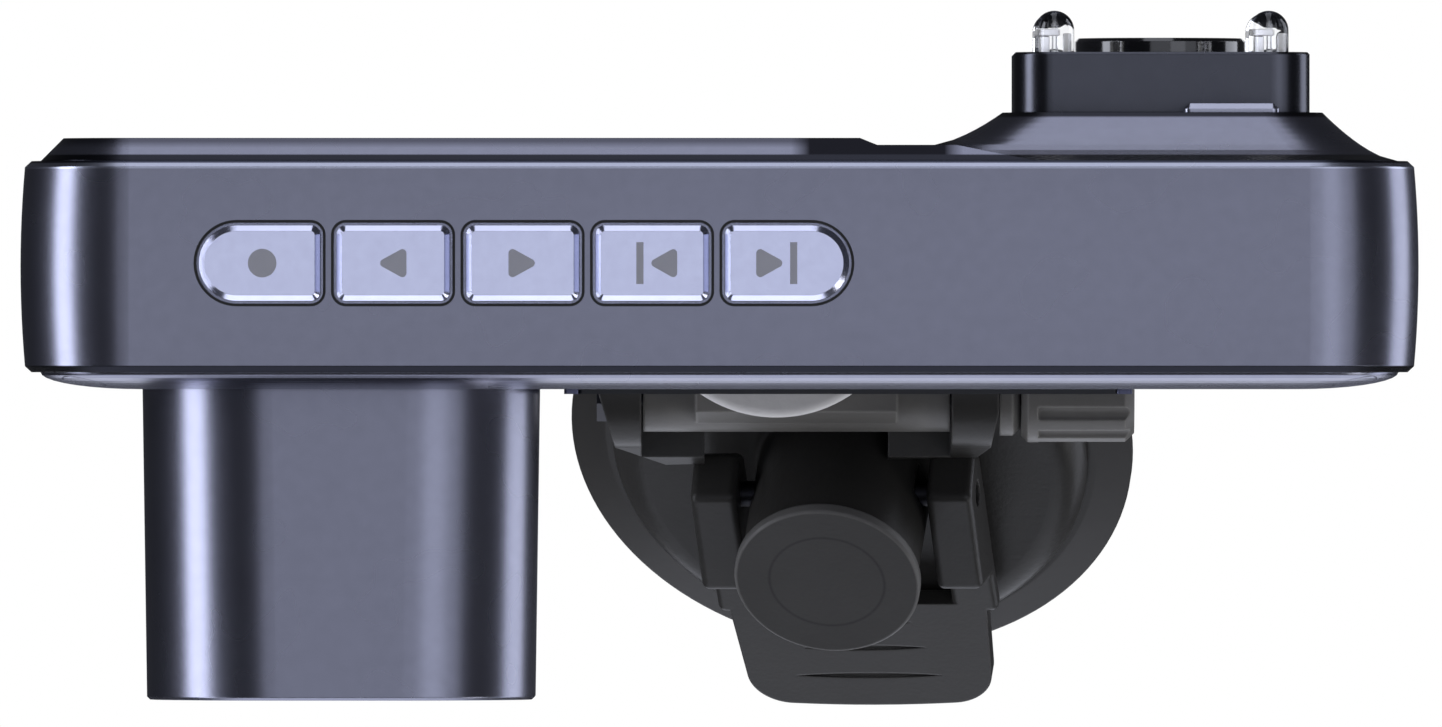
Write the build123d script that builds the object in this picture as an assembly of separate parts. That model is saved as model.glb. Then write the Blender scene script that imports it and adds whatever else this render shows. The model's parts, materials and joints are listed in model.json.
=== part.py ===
"""Two-lens dash camera on a lever-locked suction mount, in millimetres.

+X runs along the camera to its interior lens, +Y is forward along the road, +Z is up.
The origin is the centre of the suction pad's flat rim, where it meets the windscreen.
Camera pieces are drawn about the centre of the camera's case and moved by `camera_place`.
Suction pieces are drawn about the pad, with z along its axis, and moved by `glass_place`.
"""

import math
import os

from build123d import *

# ---------------------------------------------------------------- case
CASE_WIDTH = 104.0
CASE_HEIGHT = 50.0
CASE_DEPTH = 15.7
CASE_CORNER = 8.2
CASE_WALL = 1.9
CASE_CROWN = 0.37
CROWN_STEPS = 6
CASE_BEVEL = 0.45
COVER_INSET = 1.5
COVER_PLATE = 1.0
LIP_WALL = 1.2
LIP_DEPTH = 1.5
FIT = 0.15

FRONT_RISE = 1.26
FRONT_REACH = 7.4
CURVE_STEPS = 9
BEZEL_RISE = 1.7
PLINTH_RISE = 3.64
PLINTH_WALL = 1.3
SKIRT_CURVE = 0.64
DIP = 0.52
DIP_SLOPE = 1.3

# ---------------------------------------------------------------- front lens
BARREL_FROM_LEFT = 23.7
BARREL_ROOT = 29.7
BARREL_TIP = 29.0
BARREL_CORNER = 9.8
BARREL_LENGTH = 23.2
BARREL_WALL = 1.6
BARREL_FLANGE = 1.6
TRIM_RECESS = 0.9
TRIM_THICKNESS = 1.6
FRONT_LENS_RADIUS = 8.6
WINDOW_THICKNESS = 0.9
SENSOR_BOARD = 24.0
BOARD_THICKNESS = 1.0

# ---------------------------------------------------------------- front grille
GRILLE_LEFT = -11.6
GRILLE_WIDTH = 42.4
GRILLE_HEIGHT = 18.0
GRILLE_PROUD = 0.37
GRILLE_SEAT = 1.0
GRILLE_END = 1.15
GRILLE_SLOTS = 5
GRILLE_SLOT_HEIGHT = 1.2
GRILLE_SLOT_PITCH = 2.7
SPEAKER_RADIUS = 8.5
SPEAKER_DEPTH = 2.6

# ---------------------------------------------------------------- screen
SCREEN_FROM_LEFT = 33.2
GLASS_WIDTH = 56.4
GLASS_HEIGHT = 39.0
GLASS_THICKNESS = 0.9
GLASS_LEDGE = 1.1
LCD_THICKNESS = 2.2
LCD_FRAME = 1.3

# ---------------------------------------------------------------- interior camera
MODULE_FROM_RIGHT = 19.0
MODULE_SIZE = 22.1
MODULE_CORNER = 2.9
MODULE_DEPTH = 4.55
MODULE_WALL = 1.3
RING_RADIUS = 6.4
RING_PROUD = 1.1
LENS_BORE = 4.2
LED_RADIUS = 1.5
LED_SPACING = 16.0
LED_PROUD = 3.1
LED_HOLE_GAP = 0.1
REAR_KEY_WIDTH = 7.1
REAR_KEY_HEIGHT = 3.6
REAR_KEY_PROUD = 0.67
REAR_KEY_OFFSET = 5.1
REAR_KEY_TRAVEL = 0.35

# ---------------------------------------------------------------- keys under the case
KEYS_FROM_LEFT = 13.4
KEY_WIDTHS = [9.0, 8.4, 8.4, 8.4, 9.2]
KEY_NAMES = ["record_key", "left_key", "right_key", "previous_key", "next_key"]
KEY_GAP = 1.2
KEY_DEPTH = 5.6
KEY_CORNER = 0.7
KEY_BEVEL = 0.42
KEY_PROUD = 0.5
KEY_CLEARANCE = 0.22
KEY_FLANGE = 0.5
KEY_TRAVEL = 0.4
KEY_Y = -0.24
SWITCH_SIZE = 4.4
SWITCH_HEIGHT = 1.1

# ---------------------------------------------------------------- electronics
BOARD_EDGE_GAP = 7.2
BOARD_END_GAP = 5.6
BOARD_Y = -2.2
RIB_HEIGHT = 5.0
BATTERY_SIZE = (28.0, 4.4, 24.0)
USB_WIDTH = 9.0
USB_HEIGHT = 3.2
USB_LENGTH = 7.3
USB_WALL = 0.3
USB_X = 32.0
CARD_LENGTH = 15.0
CARD_WIDTH = 11.0
CARD_THICKNESS = 0.9
CARD_Z = 10.0
SCREW_RADIUS = 0.9
SCREW_HEAD = 1.5
SCREW_GAP = 0.03
SCREW_HEAD_THICKNESS = 0.55
SCREW_SINK = 0.6
PLUG_GAP = 0.05
BOARD_SCREW_HEAD = 1.5
BOSS_RADIUS = 2.2
BOSS_INSET = 4.8

# ---------------------------------------------------------------- shoe, turntable and tilt hinge
SHOE_LENGTH = 26.0
SHOE_WIDTH = 13.0
SHOE_FLOOR = 0.8
SHOE_LIP = 1.1
SLIDE_LENGTH = 22.0
SLIDE_WIDTH = 10.0
SLIDE_THICKNESS = 1.4
SLIDE_NECK = 6.0
SLIDE_GAP = 0.1
SHOE_Y = 1.1
TURNTABLE_X = 4.3
TURNTABLE_RADIUS = 10.2
TURNTABLE_THICKNESS = 2.8
HINGE_X = 5.85
HINGE_Y = 8.9
HINGE_Z = 14.0
HINGE_LENGTH = 23.3
HINGE_RADIUS = 3.5
EAR_THICKNESS = 3.6
EAR_RADIUS = 4.7
EAR_SLANT = 1.6
EAR_WIDENING = 1.8
YOKE_HALF = 7.0
YOKE_REACH = 3.0
EAR_GAP = 0.15
BOLT_RADIUS = 1.5
BOLT_SEAT = 1.3
BOLT_HEAD = 1.1
SHAFT_GAP = 0.05
KNOB_LENGTH = 8.6
KNOB_RADIUS = 4.3
KNOB_RIBS = 12
WASHER_THICKNESS = 1.6

# ---------------------------------------------------------------- suction cup
GLASS_TILT = 41.6
GLASS_YAW = 10.0
GLASS_CENTRE = (10.2, 12.4, 30.0)
PAD_RADIUS = 21.6
PAD_THICKNESS = 1.5
PAD_RIM = 0.8
PAD_POCKET_RADIUS = 15.0
DOME_RADIUS = 18.3
DOME_TOP = 4.3
DOME_WALL = 1.1
POST_RADIUS = 6.75
POST_TOP = 16.6
CAP_OVERHANG = 0.37
CAP_THICKNESS = 0.9
CAP_PLUG = 0.9
STEM_RADIUS = 4.0
STEM_BORE_GAP = 0.08
STEM_TOP = 13.2
STEM_TRAVEL = 1.2
SPRING_WIRE = 0.35
SPRING_PITCH = 0.82
FOOT_RADIUS = 9.0
FOOT_THICKNESS = 0.8
PIN_RADIUS = 1.0
PIN_S = -1.7
PIN_T = 9.2
LEVER_TURN = 6.0
ARM_GAP = 0.2
ARM_THICKNESS = 3.55
ARM_TOP_T = 12.0
ARM_END_S = 5.6
ARM_EDGE = 0.6
TAB_CLEARANCE = 4.28
TAB_LENGTH = 23.0
TAB_ROOT_HALF = 10.0
TAB_TIP_HALF = 9.3
TAB_THICKNESS = 1.7
TAB_CORNER = 3.4
TAB_BOW = 0.5
TAB_ROOT_S = 7.8
TAB_ROOT_T = 5.9
TAB_TIP_T = 3.9
GRIP_LINES = [(13.5, 4.0), (16.4, 4.8), (19.6, 5.7)]
GRIP_HALF_WIDTH = 0.3
GRIP_DEPTH = 0.25

# ---------------------------------------------------------------- worked out from the sizes above
LEFT = -CASE_WIDTH / 2
RIGHT = CASE_WIDTH / 2
TOP = CASE_HEIGHT / 2
BOTTOM = -CASE_HEIGHT / 2
FRONT = CASE_DEPTH / 2
REAR = -CASE_DEPTH / 2
INNER_CORNER = CASE_CORNER - CASE_WALL
COVER_WIDTH = CASE_WIDTH - 2 * COVER_INSET
COVER_HEIGHT = CASE_HEIGHT - 2 * COVER_INSET
COVER_CORNER = CASE_CORNER - COVER_INSET
BEZEL_FACE = REAR - BEZEL_RISE
PLINTH_FACE = REAR - PLINTH_RISE
DIP_SHARE = (BEZEL_RISE - DIP) / PLINTH_RISE
MODULE_FACE = PLINTH_FACE - MODULE_DEPTH
BARREL_X = LEFT + BARREL_FROM_LEFT
BARREL_END = FRONT + FRONT_RISE + BARREL_LENGTH
MODULE_X = RIGHT - MODULE_FROM_RIGHT
SCREEN_X = LEFT + SCREEN_FROM_LEFT
PLINTH_FOOT = MODULE_X - 17.4
REAR_KEY_X = MODULE_X + REAR_KEY_OFFSET
REAR_KEY_Z = -(MODULE_SIZE / 2 + REAR_KEY_HEIGHT / 2 + 1.4)
INNER_BOTTOM = BOTTOM + CASE_WALL
BOARD_HEIGHT = CASE_HEIGHT - 2 * BOARD_EDGE_GAP
KEY_FACE = BOTTOM - KEY_PROUD
KEY_FLANGE_TOP = INNER_BOTTOM + KEY_FLANGE + 0.15
SWITCH_BASE = KEY_FLANGE_TOP + KEY_TRAVEL + 0.1 + SWITCH_HEIGHT + 0.5
SLIDE_BOTTOM = TOP + SHOE_FLOOR + SLIDE_GAP
SHOE_TOP = SLIDE_BOTTOM + SLIDE_THICKNESS + SLIDE_GAP + SHOE_LIP
TURNTABLE_BOTTOM = SHOE_TOP + 0.9
TURNTABLE_TOP = TURNTABLE_BOTTOM + TURNTABLE_THICKNESS
HINGE_HEIGHT = TOP + HINGE_Z
EAR_INNER = HINGE_LENGTH / 2 + EAR_GAP
EAR_OUTER = EAR_INNER + EAR_THICKNESS
CAP_RADIUS = POST_RADIUS + CAP_OVERHANG
TAB_START = CAP_RADIUS + TAB_CLEARANCE
ARM_INNER = CAP_RADIUS + ARM_GAP
ARM_OUTER = ARM_INNER + ARM_THICKNESS

tilt = math.radians(GLASS_TILT)
yaw = math.radians(GLASS_YAW)
pad_axis = Vector(-math.sin(tilt) * math.sin(yaw), math.sin(tilt) * math.cos(yaw), -math.cos(tilt))
turn = math.radians(LEVER_TURN)
straight_down = Vector(0, -pad_axis.Z, pad_axis.Y).normalized()
lever_way = straight_down * math.cos(turn) + pad_axis.cross(straight_down) * math.sin(turn)
pad_x = pad_axis.cross(lever_way).normalized()
glass_place = Plane(origin=(0, 0, 0), x_dir=pad_x, z_dir=pad_axis).location
camera_place = Pos(-GLASS_CENTRE[0], -GLASS_CENTRE[1], -(TOP + GLASS_CENTRE[2]))

pieces = {}


def keep(name, shape, place=camera_place):
    """Put a finished piece in its place and list it under its node's name."""
    pieces[name] = place * shape


def block(x0, x1, y0, y1, z0, z1):
    """A box between two corners."""
    middle = Pos((x0 + x1) / 2, (y0 + y1) / 2, (z0 + z1) / 2)
    return middle * Box(abs(x1 - x0), abs(y1 - y0), abs(z1 - z0))


def facing_forward(x, y, z):
    """A drawing plane at a point, square to the road."""
    return Plane(origin=(x, y, z), x_dir=(1, 0, 0), z_dir=(0, 1, 0))


def facing_up(x, y, z):
    """A level drawing plane at a point."""
    return Plane(origin=(x, y, z), x_dir=(1, 0, 0), z_dir=(0, 0, 1))


def facing_right(x, y, z):
    """A drawing plane at a point, square to the camera's length, with y across and z up."""
    return Plane(origin=(x, y, z), x_dir=(0, 1, 0), z_dir=(1, 0, 0))


def panel(x, z, width, height, corner, y0, y1):
    """A flat piece with rounded corners that stands square to the road."""
    return extrude(facing_forward(x, y0, z) * RectangleRounded(width, height, corner), y1 - y0)


def disc(x, z, radius, y0, y1):
    """A round piece whose axis points forward."""
    return extrude(facing_forward(x, y0, z) * Circle(radius), y1 - y0)


def rod(y, z, radius, x0, x1):
    """A round piece whose axis runs along the camera."""
    return extrude(facing_right(x0, y, z) * Circle(radius), x1 - x0)


def post(x, y, radius, z0, z1):
    """An upright round piece."""
    return extrude(facing_up(x, y, z0) * Circle(radius), z1 - z0)


def skin(sections):
    """A solid through rounded rectangles, each given as y, x, z, width, height and corner."""
    outlines = [facing_forward(x, y, z) * RectangleRounded(w, h, c) for y, x, z, w, h, c in sections]
    return loft(outlines, ruled=True)


def group(solids):
    """Several like solids in one node."""
    return Compound([solid for piece in solids for solid in piece.solids()])


# ---------------------------------------------------------------- case
def case_section(y, extra=0.0):
    inset = CASE_CROWN * (y / FRONT) ** 2 + extra
    return (y, 0, 0, CASE_WIDTH - 2 * inset, CASE_HEIGHT - 2 * inset, CASE_CORNER - inset)


def case_blank():
    edge = FRONT - CASE_BEVEL
    blank = skin([case_section(edge * step / CROWN_STEPS) for step in range(-CROWN_STEPS, CROWN_STEPS + 1)])
    for side in (-1, 1):
        blank += skin([case_section(side * edge), case_section(side * FRONT, CASE_BEVEL)])
    return blank


def key_places():
    start = LEFT + KEYS_FROM_LEFT
    for name, width in zip(KEY_NAMES, KEY_WIDTHS):
        yield name, start, start + width
        start += width + KEY_GAP


def key_outline(name, x0, x1, grow, z):
    """A key's outline from below; the row's first and last keys have one fully round end."""
    depth = KEY_DEPTH + 2 * grow
    low = x0 - grow
    high = x1 + grow
    corner = KEY_CORNER + max(grow, 0)
    shape = Pos((low + high) / 2, 0) * RectangleRounded(high - low, depth, corner)
    if name == KEY_NAMES[0]:
        body = Pos((low + depth / 2 + high) / 2, 0) * Rectangle(high - low - depth / 2, depth)
        shape &= body + Pos(low + depth / 2, 0) * Circle(depth / 2)
    if name == KEY_NAMES[-1]:
        body = Pos((low + high - depth / 2) / 2, 0) * Rectangle(high - low - depth / 2, depth)
        shape &= body + Pos(high - depth / 2, 0) * Circle(depth / 2)
    return facing_up(0, KEY_Y, z) * shape


def boss_spots():
    for sx in (-1, 1):
        for sz in (-1, 1):
            yield sx * (RIGHT - BOSS_INSET), sz * (TOP - BOSS_INSET)


def rib_spots():
    return [(LEFT, -12.0), (LEFT, 12.0), (RIGHT, -12.0), (RIGHT, -1.5)]


def board_screw_x(end):
    return end - math.copysign(BOARD_END_GAP + 1.6, end)


key_row_end = list(key_places())[-1][2]
key_board_ends = (LEFT + KEYS_FROM_LEFT - 3.2, key_row_end + 3.2)


def middle_shell():
    shell = case_blank()
    inside = (CASE_WIDTH - 2 * CASE_WALL, CASE_HEIGHT - 2 * CASE_WALL)
    shell -= panel(0, 0, *inside, INNER_CORNER, REAR - 1, FRONT + 1)
    boss_end = FRONT - LIP_DEPTH - 0.1
    for x, z in boss_spots():
        shell += disc(x, z, BOSS_RADIUS, -boss_end, boss_end) & case_blank()
    for end, z in rib_spots():
        inner = board_screw_x(end) - math.copysign(1.6, end)
        wall = end - math.copysign(CASE_WALL - 0.2, end)
        half = RIB_HEIGHT / 2
        shell += block(inner, wall, BOARD_Y + BOARD_THICKNESS, BOARD_Y + 3.6, z - half, z + half)
        shell -= disc(board_screw_x(end), z, SCREW_RADIUS, BOARD_Y, BOARD_Y + 3.2)
    for x in key_board_ends:
        shell += block(x - 1.0, x + 1.0, -4, 4, INNER_BOTTOM - 0.2, SWITCH_BASE)
    for x, z in boss_spots():
        shell -= disc(x, z, SCREW_RADIUS, FRONT - 7.0, FRONT)
    for name, x0, x1 in key_places():
        shell -= extrude(key_outline(name, x0, x1, KEY_CLEARANCE, BOTTOM - 1), CASE_WALL + 1.2)
    usb_y = BOARD_Y + BOARD_THICKNESS + USB_HEIGHT / 2
    mouth = RectangleRounded(USB_WIDTH + 2 * FIT, USB_HEIGHT + 2 * FIT, USB_HEIGHT / 2)
    shell -= extrude(facing_up(USB_X, usb_y, TOP - CASE_WALL - 1) * mouth, CASE_WALL + 2)
    half = CARD_WIDTH / 2 + 2 * FIT
    deep = CARD_THICKNESS / 2 + 2 * FIT
    middle = card_middle()
    wall_x = RIGHT - CASE_WALL - 1
    shell -= block(wall_x, RIGHT + 1, middle - deep, middle + deep, CARD_Z - half, CARD_Z + half)
    return shell


def card_middle():
    return BOARD_Y - 1.05


def lip(face, inwards):
    """The rim under a cover that drops inside the middle shell."""
    width = CASE_WIDTH - 2 * (CASE_WALL + FIT)
    height = CASE_HEIGHT - 2 * (CASE_WALL + FIT)
    corner = INNER_CORNER - FIT
    end = face + inwards * LIP_DEPTH
    rim = panel(0, 0, width, height, corner, min(face, end), max(face, end))
    hollow = panel(0, 0, width - 2 * LIP_WALL, height - 2 * LIP_WALL, corner - LIP_WALL, face - 2, face + 2)
    return rim - hollow


def cover_panel(y0, y1):
    width = CASE_WIDTH - 2 * (CASE_WALL + FIT)
    height = CASE_HEIGHT - 2 * (CASE_WALL + FIT)
    return panel(0, 0, width, height, INNER_CORNER - FIT, y0, y1)


def front_pillow():
    """The front cover's outer shape, curved down to its edge."""
    sections = []
    for step in range(CURVE_STEPS + 1):
        turn = math.radians(90 * step / CURVE_STEPS)
        inset = FRONT_REACH * (1 - math.cos(turn))
        corner = COVER_CORNER * (1 - 0.75 * inset / FRONT_REACH)
        y = FRONT + FRONT_RISE * math.sin(turn)
        sections.append((y, 0, 0, COVER_WIDTH - 2 * inset, COVER_HEIGHT - 2 * inset, corner))
    return skin(sections)


def front_cover():
    cover = front_pillow() + cover_panel(FRONT - COVER_PLATE, FRONT)
    cover += lip(FRONT, -1)
    face = FRONT + FRONT_RISE
    opening = BARREL_ROOT + 2 * FIT
    cover -= panel(BARREL_X, 0, opening, opening, BARREL_CORNER + FIT, FRONT - 3, face + 1)
    seat = face - GRILLE_SEAT
    middle = GRILLE_LEFT + GRILLE_WIDTH / 2
    cover -= panel(middle, 0, GRILLE_WIDTH + 0.1, GRILLE_HEIGHT + 0.1, 0.2, seat, face + 1)
    cover -= disc(0, 0, SPEAKER_RADIUS - 1.2, FRONT - 3, seat + 0.1)
    for x, z in boss_spots():
        cover -= disc(x, z, SCREW_RADIUS + 0.1, FRONT - 3, face + 1)
        cover -= disc(x, z, SCREW_HEAD + FIT, FRONT - SCREW_SINK, face + 1)
    for x, z in boss_spots():
        cover -= disc(x, z, BOSS_RADIUS + 0.3, FRONT - LIP_DEPTH - 0.2, FRONT - COVER_PLATE)
    return cover


def plinth():
    """The concave mound under the interior camera, from its foot to its face."""
    foot_right = RIGHT - COVER_INSET
    face_half = MODULE_SIZE / 2 + 0.87
    sections = []
    for step in range(CURVE_STEPS + 1):
        rise = step / CURVE_STEPS
        share = rise**SKIRT_CURVE
        left_share = max(0.0, (rise - DIP_SHARE) / (1 - DIP_SHARE)) ** SKIRT_CURVE
        left = PLINTH_FOOT + left_share * (MODULE_X - face_half - PLINTH_FOOT)
        right = foot_right + share * (MODULE_X + face_half - foot_right)
        half_height = COVER_HEIGHT / 2 + share * (MODULE_SIZE / 2 + 6.4 - COVER_HEIGHT / 2)
        corner = COVER_CORNER - 2.2 * share
        y = REAR - rise * PLINTH_RISE
        sections.append((y, (left + right) / 2, 0, right - left, 2 * half_height, corner))
    return skin(sections)


def rear_cover():
    face_width = COVER_WIDTH - 2 * BEZEL_RISE
    face_height = COVER_HEIGHT - 2 * BEZEL_RISE
    foot = (REAR, 0, 0, COVER_WIDTH, COVER_HEIGHT, COVER_CORNER)
    cover = skin([foot, (BEZEL_FACE, 0, 0, face_width, face_height, COVER_CORNER - BEZEL_RISE)])
    step_left = LEFT + SCREEN_FROM_LEFT + GLASS_WIDTH / 2 + 1.0
    dip = Polyline(
        (step_left, BEZEL_FACE - 0.01),
        (step_left + DIP_SLOPE, BEZEL_FACE + DIP),
        (PLINTH_FOOT + 2, BEZEL_FACE + DIP),
        (PLINTH_FOOT + 8, REAR),
        (RIGHT + 1, REAR),
        (RIGHT + 1, BEZEL_FACE - 1),
        (step_left, BEZEL_FACE - 1),
        close=True,
    )
    cover -= extrude(facing_up(0, 0, BOTTOM) * make_face(dip), CASE_HEIGHT, dir=(0, 0, 1))
    cover += plinth()
    cover += cover_panel(REAR, REAR + COVER_PLATE)
    cover += lip(REAR, 1)
    inner = REAR + COVER_PLATE
    seat = BEZEL_FACE + GLASS_THICKNESS + 0.05
    cover -= panel(SCREEN_X, 0, GLASS_WIDTH + 0.2, GLASS_HEIGHT + 0.2, 1.6, BEZEL_FACE - 1, seat)
    window = (GLASS_WIDTH - 2 * GLASS_LEDGE, GLASS_HEIGHT - 2 * GLASS_LEDGE)
    cover -= panel(SCREEN_X, 0, *window, 1.0, BEZEL_FACE - 1, inner + 1)
    cavity = MODULE_SIZE - 1.0
    top = MODULE_SIZE / 2 - 1.5
    low = REAR_KEY_Z - REAR_KEY_HEIGHT / 2 - 1.2
    x0 = MODULE_X - cavity / 2
    x1 = MODULE_X + cavity / 2
    cover -= block(x0, x1, PLINTH_FACE + PLINTH_WALL, inner + 1, low, top)
    cover -= panel(MODULE_X, 0, 11.0, 13.0, 2.0, PLINTH_FACE - 1, inner)
    key_gap = 2 * KEY_CLEARANCE
    key_hole = (REAR_KEY_WIDTH + key_gap, REAR_KEY_HEIGHT + key_gap)
    cover -= panel(REAR_KEY_X, REAR_KEY_Z, *key_hole, 0.6, PLINTH_FACE - 1, PLINTH_FACE + PLINTH_WALL + 0.2)
    cover -= disc(step_left + 2.2, BOTTOM + 8.0, 0.45, BEZEL_FACE - 1, inner + 1)
    for x, z in boss_spots():
        cover -= disc(x, z, BOSS_RADIUS + 0.3, inner, REAR + LIP_DEPTH + 0.2)
    return cover


keep("middle_shell", middle_shell())
keep("front_cover", front_cover())
keep("rear_cover", rear_cover())

head_low = FRONT - SCREW_SINK
head_top = head_low + SCREW_HEAD_THICKNESS
case_screws = []
for x, z in boss_spots():
    shank = disc(x, z, SCREW_RADIUS - SCREW_GAP, FRONT - 6.5, head_low)
    case_screws.append(shank + disc(x, z, SCREW_HEAD, head_low, head_top))
    plug = disc(x, z, SCREW_HEAD + FIT - PLUG_GAP, head_top, FRONT + FRONT_RISE)
    case_screws.append(plug & front_pillow())
keep("case_screws", group(case_screws))


# ---------------------------------------------------------------- front lens barrel
def barrel_section(y, inset):
    share = (y - FRONT) / (BARREL_END - FRONT)
    width = BARREL_ROOT + share * (BARREL_TIP - BARREL_ROOT) - 2 * inset
    return (y, BARREL_X, 0, width, width, BARREL_CORNER - inset)


def barrel_shell():
    inner = FRONT - COVER_PLATE
    rim = 0.22
    shell = skin([barrel_section(inner, 0), barrel_section(BARREL_END - rim, 0)])
    shell += skin([barrel_section(BARREL_END - rim, 0), barrel_section(BARREL_END, rim)])
    flange = BARREL_ROOT + 2 * BARREL_FLANGE
    shell += panel(BARREL_X, 0, flange, flange, BARREL_CORNER + BARREL_FLANGE, inner - 1.2, inner)
    shell -= skin([barrel_section(inner - 2, BARREL_WALL), barrel_section(BARREL_END + 1, BARREL_WALL)])
    shell += barrel_bulkhead()
    return shell


def barrel_bulkhead():
    """The wall inside the barrel that carries the lens holder."""
    root = BARREL_WALL - 0.3
    wall = skin([barrel_section(FRONT + 2, root), barrel_section(FRONT + 3.4, root)])
    return wall - disc(BARREL_X, 0, FRONT_LENS_RADIUS - 2.0, FRONT + 1, FRONT + 5)


lens_back = BARREL_END - TRIM_RECESS - TRIM_THICKNESS
trim_width = BARREL_TIP - 2 * BARREL_WALL - 0.1
trim_corner = BARREL_CORNER - BARREL_WALL
trim = panel(BARREL_X, 0, trim_width, trim_width, trim_corner, lens_back, BARREL_END - TRIM_RECESS)
trim -= disc(BARREL_X, 0, FRONT_LENS_RADIUS, lens_back - 1, BARREL_END)
trim -= disc(BARREL_X, 0, FRONT_LENS_RADIUS + 0.9, BARREL_END - TRIM_RECESS - WINDOW_THICKNESS, BARREL_END)
window_back = BARREL_END - TRIM_RECESS - WINDOW_THICKNESS
window = disc(BARREL_X, 0, FRONT_LENS_RADIUS + 0.85, window_back, BARREL_END - TRIM_RECESS - 0.1)

holder_back = FRONT - 1.2
holder = panel(BARREL_X, 0, 17.0, 17.0, 1.5, holder_back, FRONT + 2)
holder += disc(BARREL_X, 0, FRONT_LENS_RADIUS - 2.1, FRONT + 2, FRONT + 8)
holder -= disc(BARREL_X, 0, FRONT_LENS_RADIUS - 3.1, holder_back - 1, FRONT + 9)

tube_front = window_back - 0.6
lens_tube = disc(BARREL_X, 0, FRONT_LENS_RADIUS - 3.15, FRONT + 1, tube_front - 7)
lens_tube += disc(BARREL_X, 0, FRONT_LENS_RADIUS - 0.7, tube_front - 7, tube_front)
lens_tube -= disc(BARREL_X, 0, FRONT_LENS_RADIUS - 2.2, tube_front - 3.4, tube_front + 1)
lens_tube -= disc(BARREL_X, 0, FRONT_LENS_RADIUS - 4.6, FRONT, tube_front)


def dome_lens(x, z, radius, back, edge, bulge, outward):
    """A lens with a flat back and a domed face; outward is +1 or -1 along y."""
    ball = (radius**2 + bulge**2) / (2 * bulge)
    half = math.asin(radius / ball) / 2
    middle = (ball * math.sin(half), outward * (edge + bulge - ball + ball * math.cos(half)))
    crown = (0, outward * (edge + bulge))
    rim = (radius, outward * edge)
    outline = Polyline(crown, (0, 0), (radius, 0), rim) + ThreePointArc(rim, middle, crown)
    return Pos(x, back, z) * revolve(make_face(outline), Axis.Y)


front_lens = dome_lens(BARREL_X, 0, FRONT_LENS_RADIUS - 2.25, tube_front - 3.3, 0.9, 2.0, 1)
rear_lens = disc(BARREL_X, 0, FRONT_LENS_RADIUS - 4.65, FRONT + 3, FRONT + 4.4)
board_y = holder_back - BOARD_THICKNESS
sensor_board = panel(BARREL_X, 0, SENSOR_BOARD, SENSOR_BOARD, 6.5, board_y, holder_back)
sensor_chip = panel(BARREL_X, 0, 7.0, 5.5, 0.3, holder_back, holder_back + 1.0)

keep("barrel_shell", barrel_shell())
keep("front_trim", trim)
keep("front_window", window)
keep("lens_holder", holder)
keep("lens_tube", lens_tube)
keep("lens_elements", group([front_lens, rear_lens]))
keep("front_sensor_board", sensor_board + sensor_chip)

# ---------------------------------------------------------------- front grille and speaker
grille_face = FRONT + FRONT_RISE + GRILLE_PROUD
grille_back = FRONT + FRONT_RISE - GRILLE_SEAT
grille_x = GRILLE_LEFT + GRILLE_WIDTH / 2
grille_inner = GRILLE_WIDTH - 2 * GRILLE_END
grille = panel(grille_x, 0, grille_inner, GRILLE_HEIGHT, 0.2, grille_back, grille_face)
slot_length = grille_inner - 5
for number in range(GRILLE_SLOTS):
    slot_z = (number - (GRILLE_SLOTS - 1) / 2) * GRILLE_SLOT_PITCH
    slot = (slot_length, GRILLE_SLOT_HEIGHT, 0.55)
    grille -= panel(grille_x, slot_z, *slot, grille_back - 1, grille_face + 1)
end_offset = (grille_inner + GRILLE_END) / 2
grille_ends = group(
    panel(grille_x + side * end_offset, 0, GRILLE_END, GRILLE_HEIGHT, 0.2, grille_back, grille_face)
    for side in (-1, 1)
)
speaker_front = FRONT - COVER_PLATE
speaker = disc(0, 0, SPEAKER_RADIUS, speaker_front - SPEAKER_DEPTH, speaker_front)
speaker += disc(0, 0, SPEAKER_RADIUS - 3, speaker_front - SPEAKER_DEPTH - 1.0, speaker_front - SPEAKER_DEPTH)
keep("front_grille", grille)
keep("grille_end_blocks", grille_ends)
keep("speaker", speaker)

# ---------------------------------------------------------------- screen
glass_back = BEZEL_FACE + GLASS_THICKNESS
window_width = GLASS_WIDTH - 2 * GLASS_LEDGE - 0.2
window_height = GLASS_HEIGHT - 2 * GLASS_LEDGE - 0.2
lcd_back = glass_back + LCD_THICKNESS
keep("screen_glass", panel(SCREEN_X, 0, GLASS_WIDTH, GLASS_HEIGHT, 1.5, BEZEL_FACE, glass_back))
keep("lcd_panel", panel(SCREEN_X, 0, window_width, window_height, 1.0, glass_back + 0.1, lcd_back))
frame_back = lcd_back + 0.1 + LCD_FRAME
keep("lcd_frame", panel(SCREEN_X, 0, window_width + 3, window_height - 1, 1.0, lcd_back + 0.1, frame_back))
screen_flex = block(SCREEN_X - 8, SCREEN_X + 8, frame_back, BOARD_Y, -14.2, -13.9)


# ---------------------------------------------------------------- interior camera
def led_spots():
    for sx in (-1, 1):
        for sz in (-1, 1):
            yield MODULE_X + sx * LED_SPACING / 2, sz * LED_SPACING / 2


def module_housing():
    housing = panel(MODULE_X, 0, MODULE_SIZE, MODULE_SIZE, MODULE_CORNER, MODULE_FACE, PLINTH_FACE)
    housing = chamfer(housing.faces().sort_by(Axis.Y)[0].edges(), 0.16)
    inner = MODULE_SIZE - 2 * MODULE_WALL
    ceiling = MODULE_FACE + MODULE_WALL
    housing -= panel(MODULE_X, 0, inner, inner, MODULE_CORNER - MODULE_WALL, ceiling, PLINTH_FACE + 1)
    housing -= disc(MODULE_X, 0, LENS_BORE + 1.0, MODULE_FACE - 1, PLINTH_FACE)
    for x, z in led_spots():
        housing -= disc(x, z, LED_RADIUS + LED_HOLE_GAP, MODULE_FACE - 1, PLINTH_FACE)
    return housing


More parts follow.
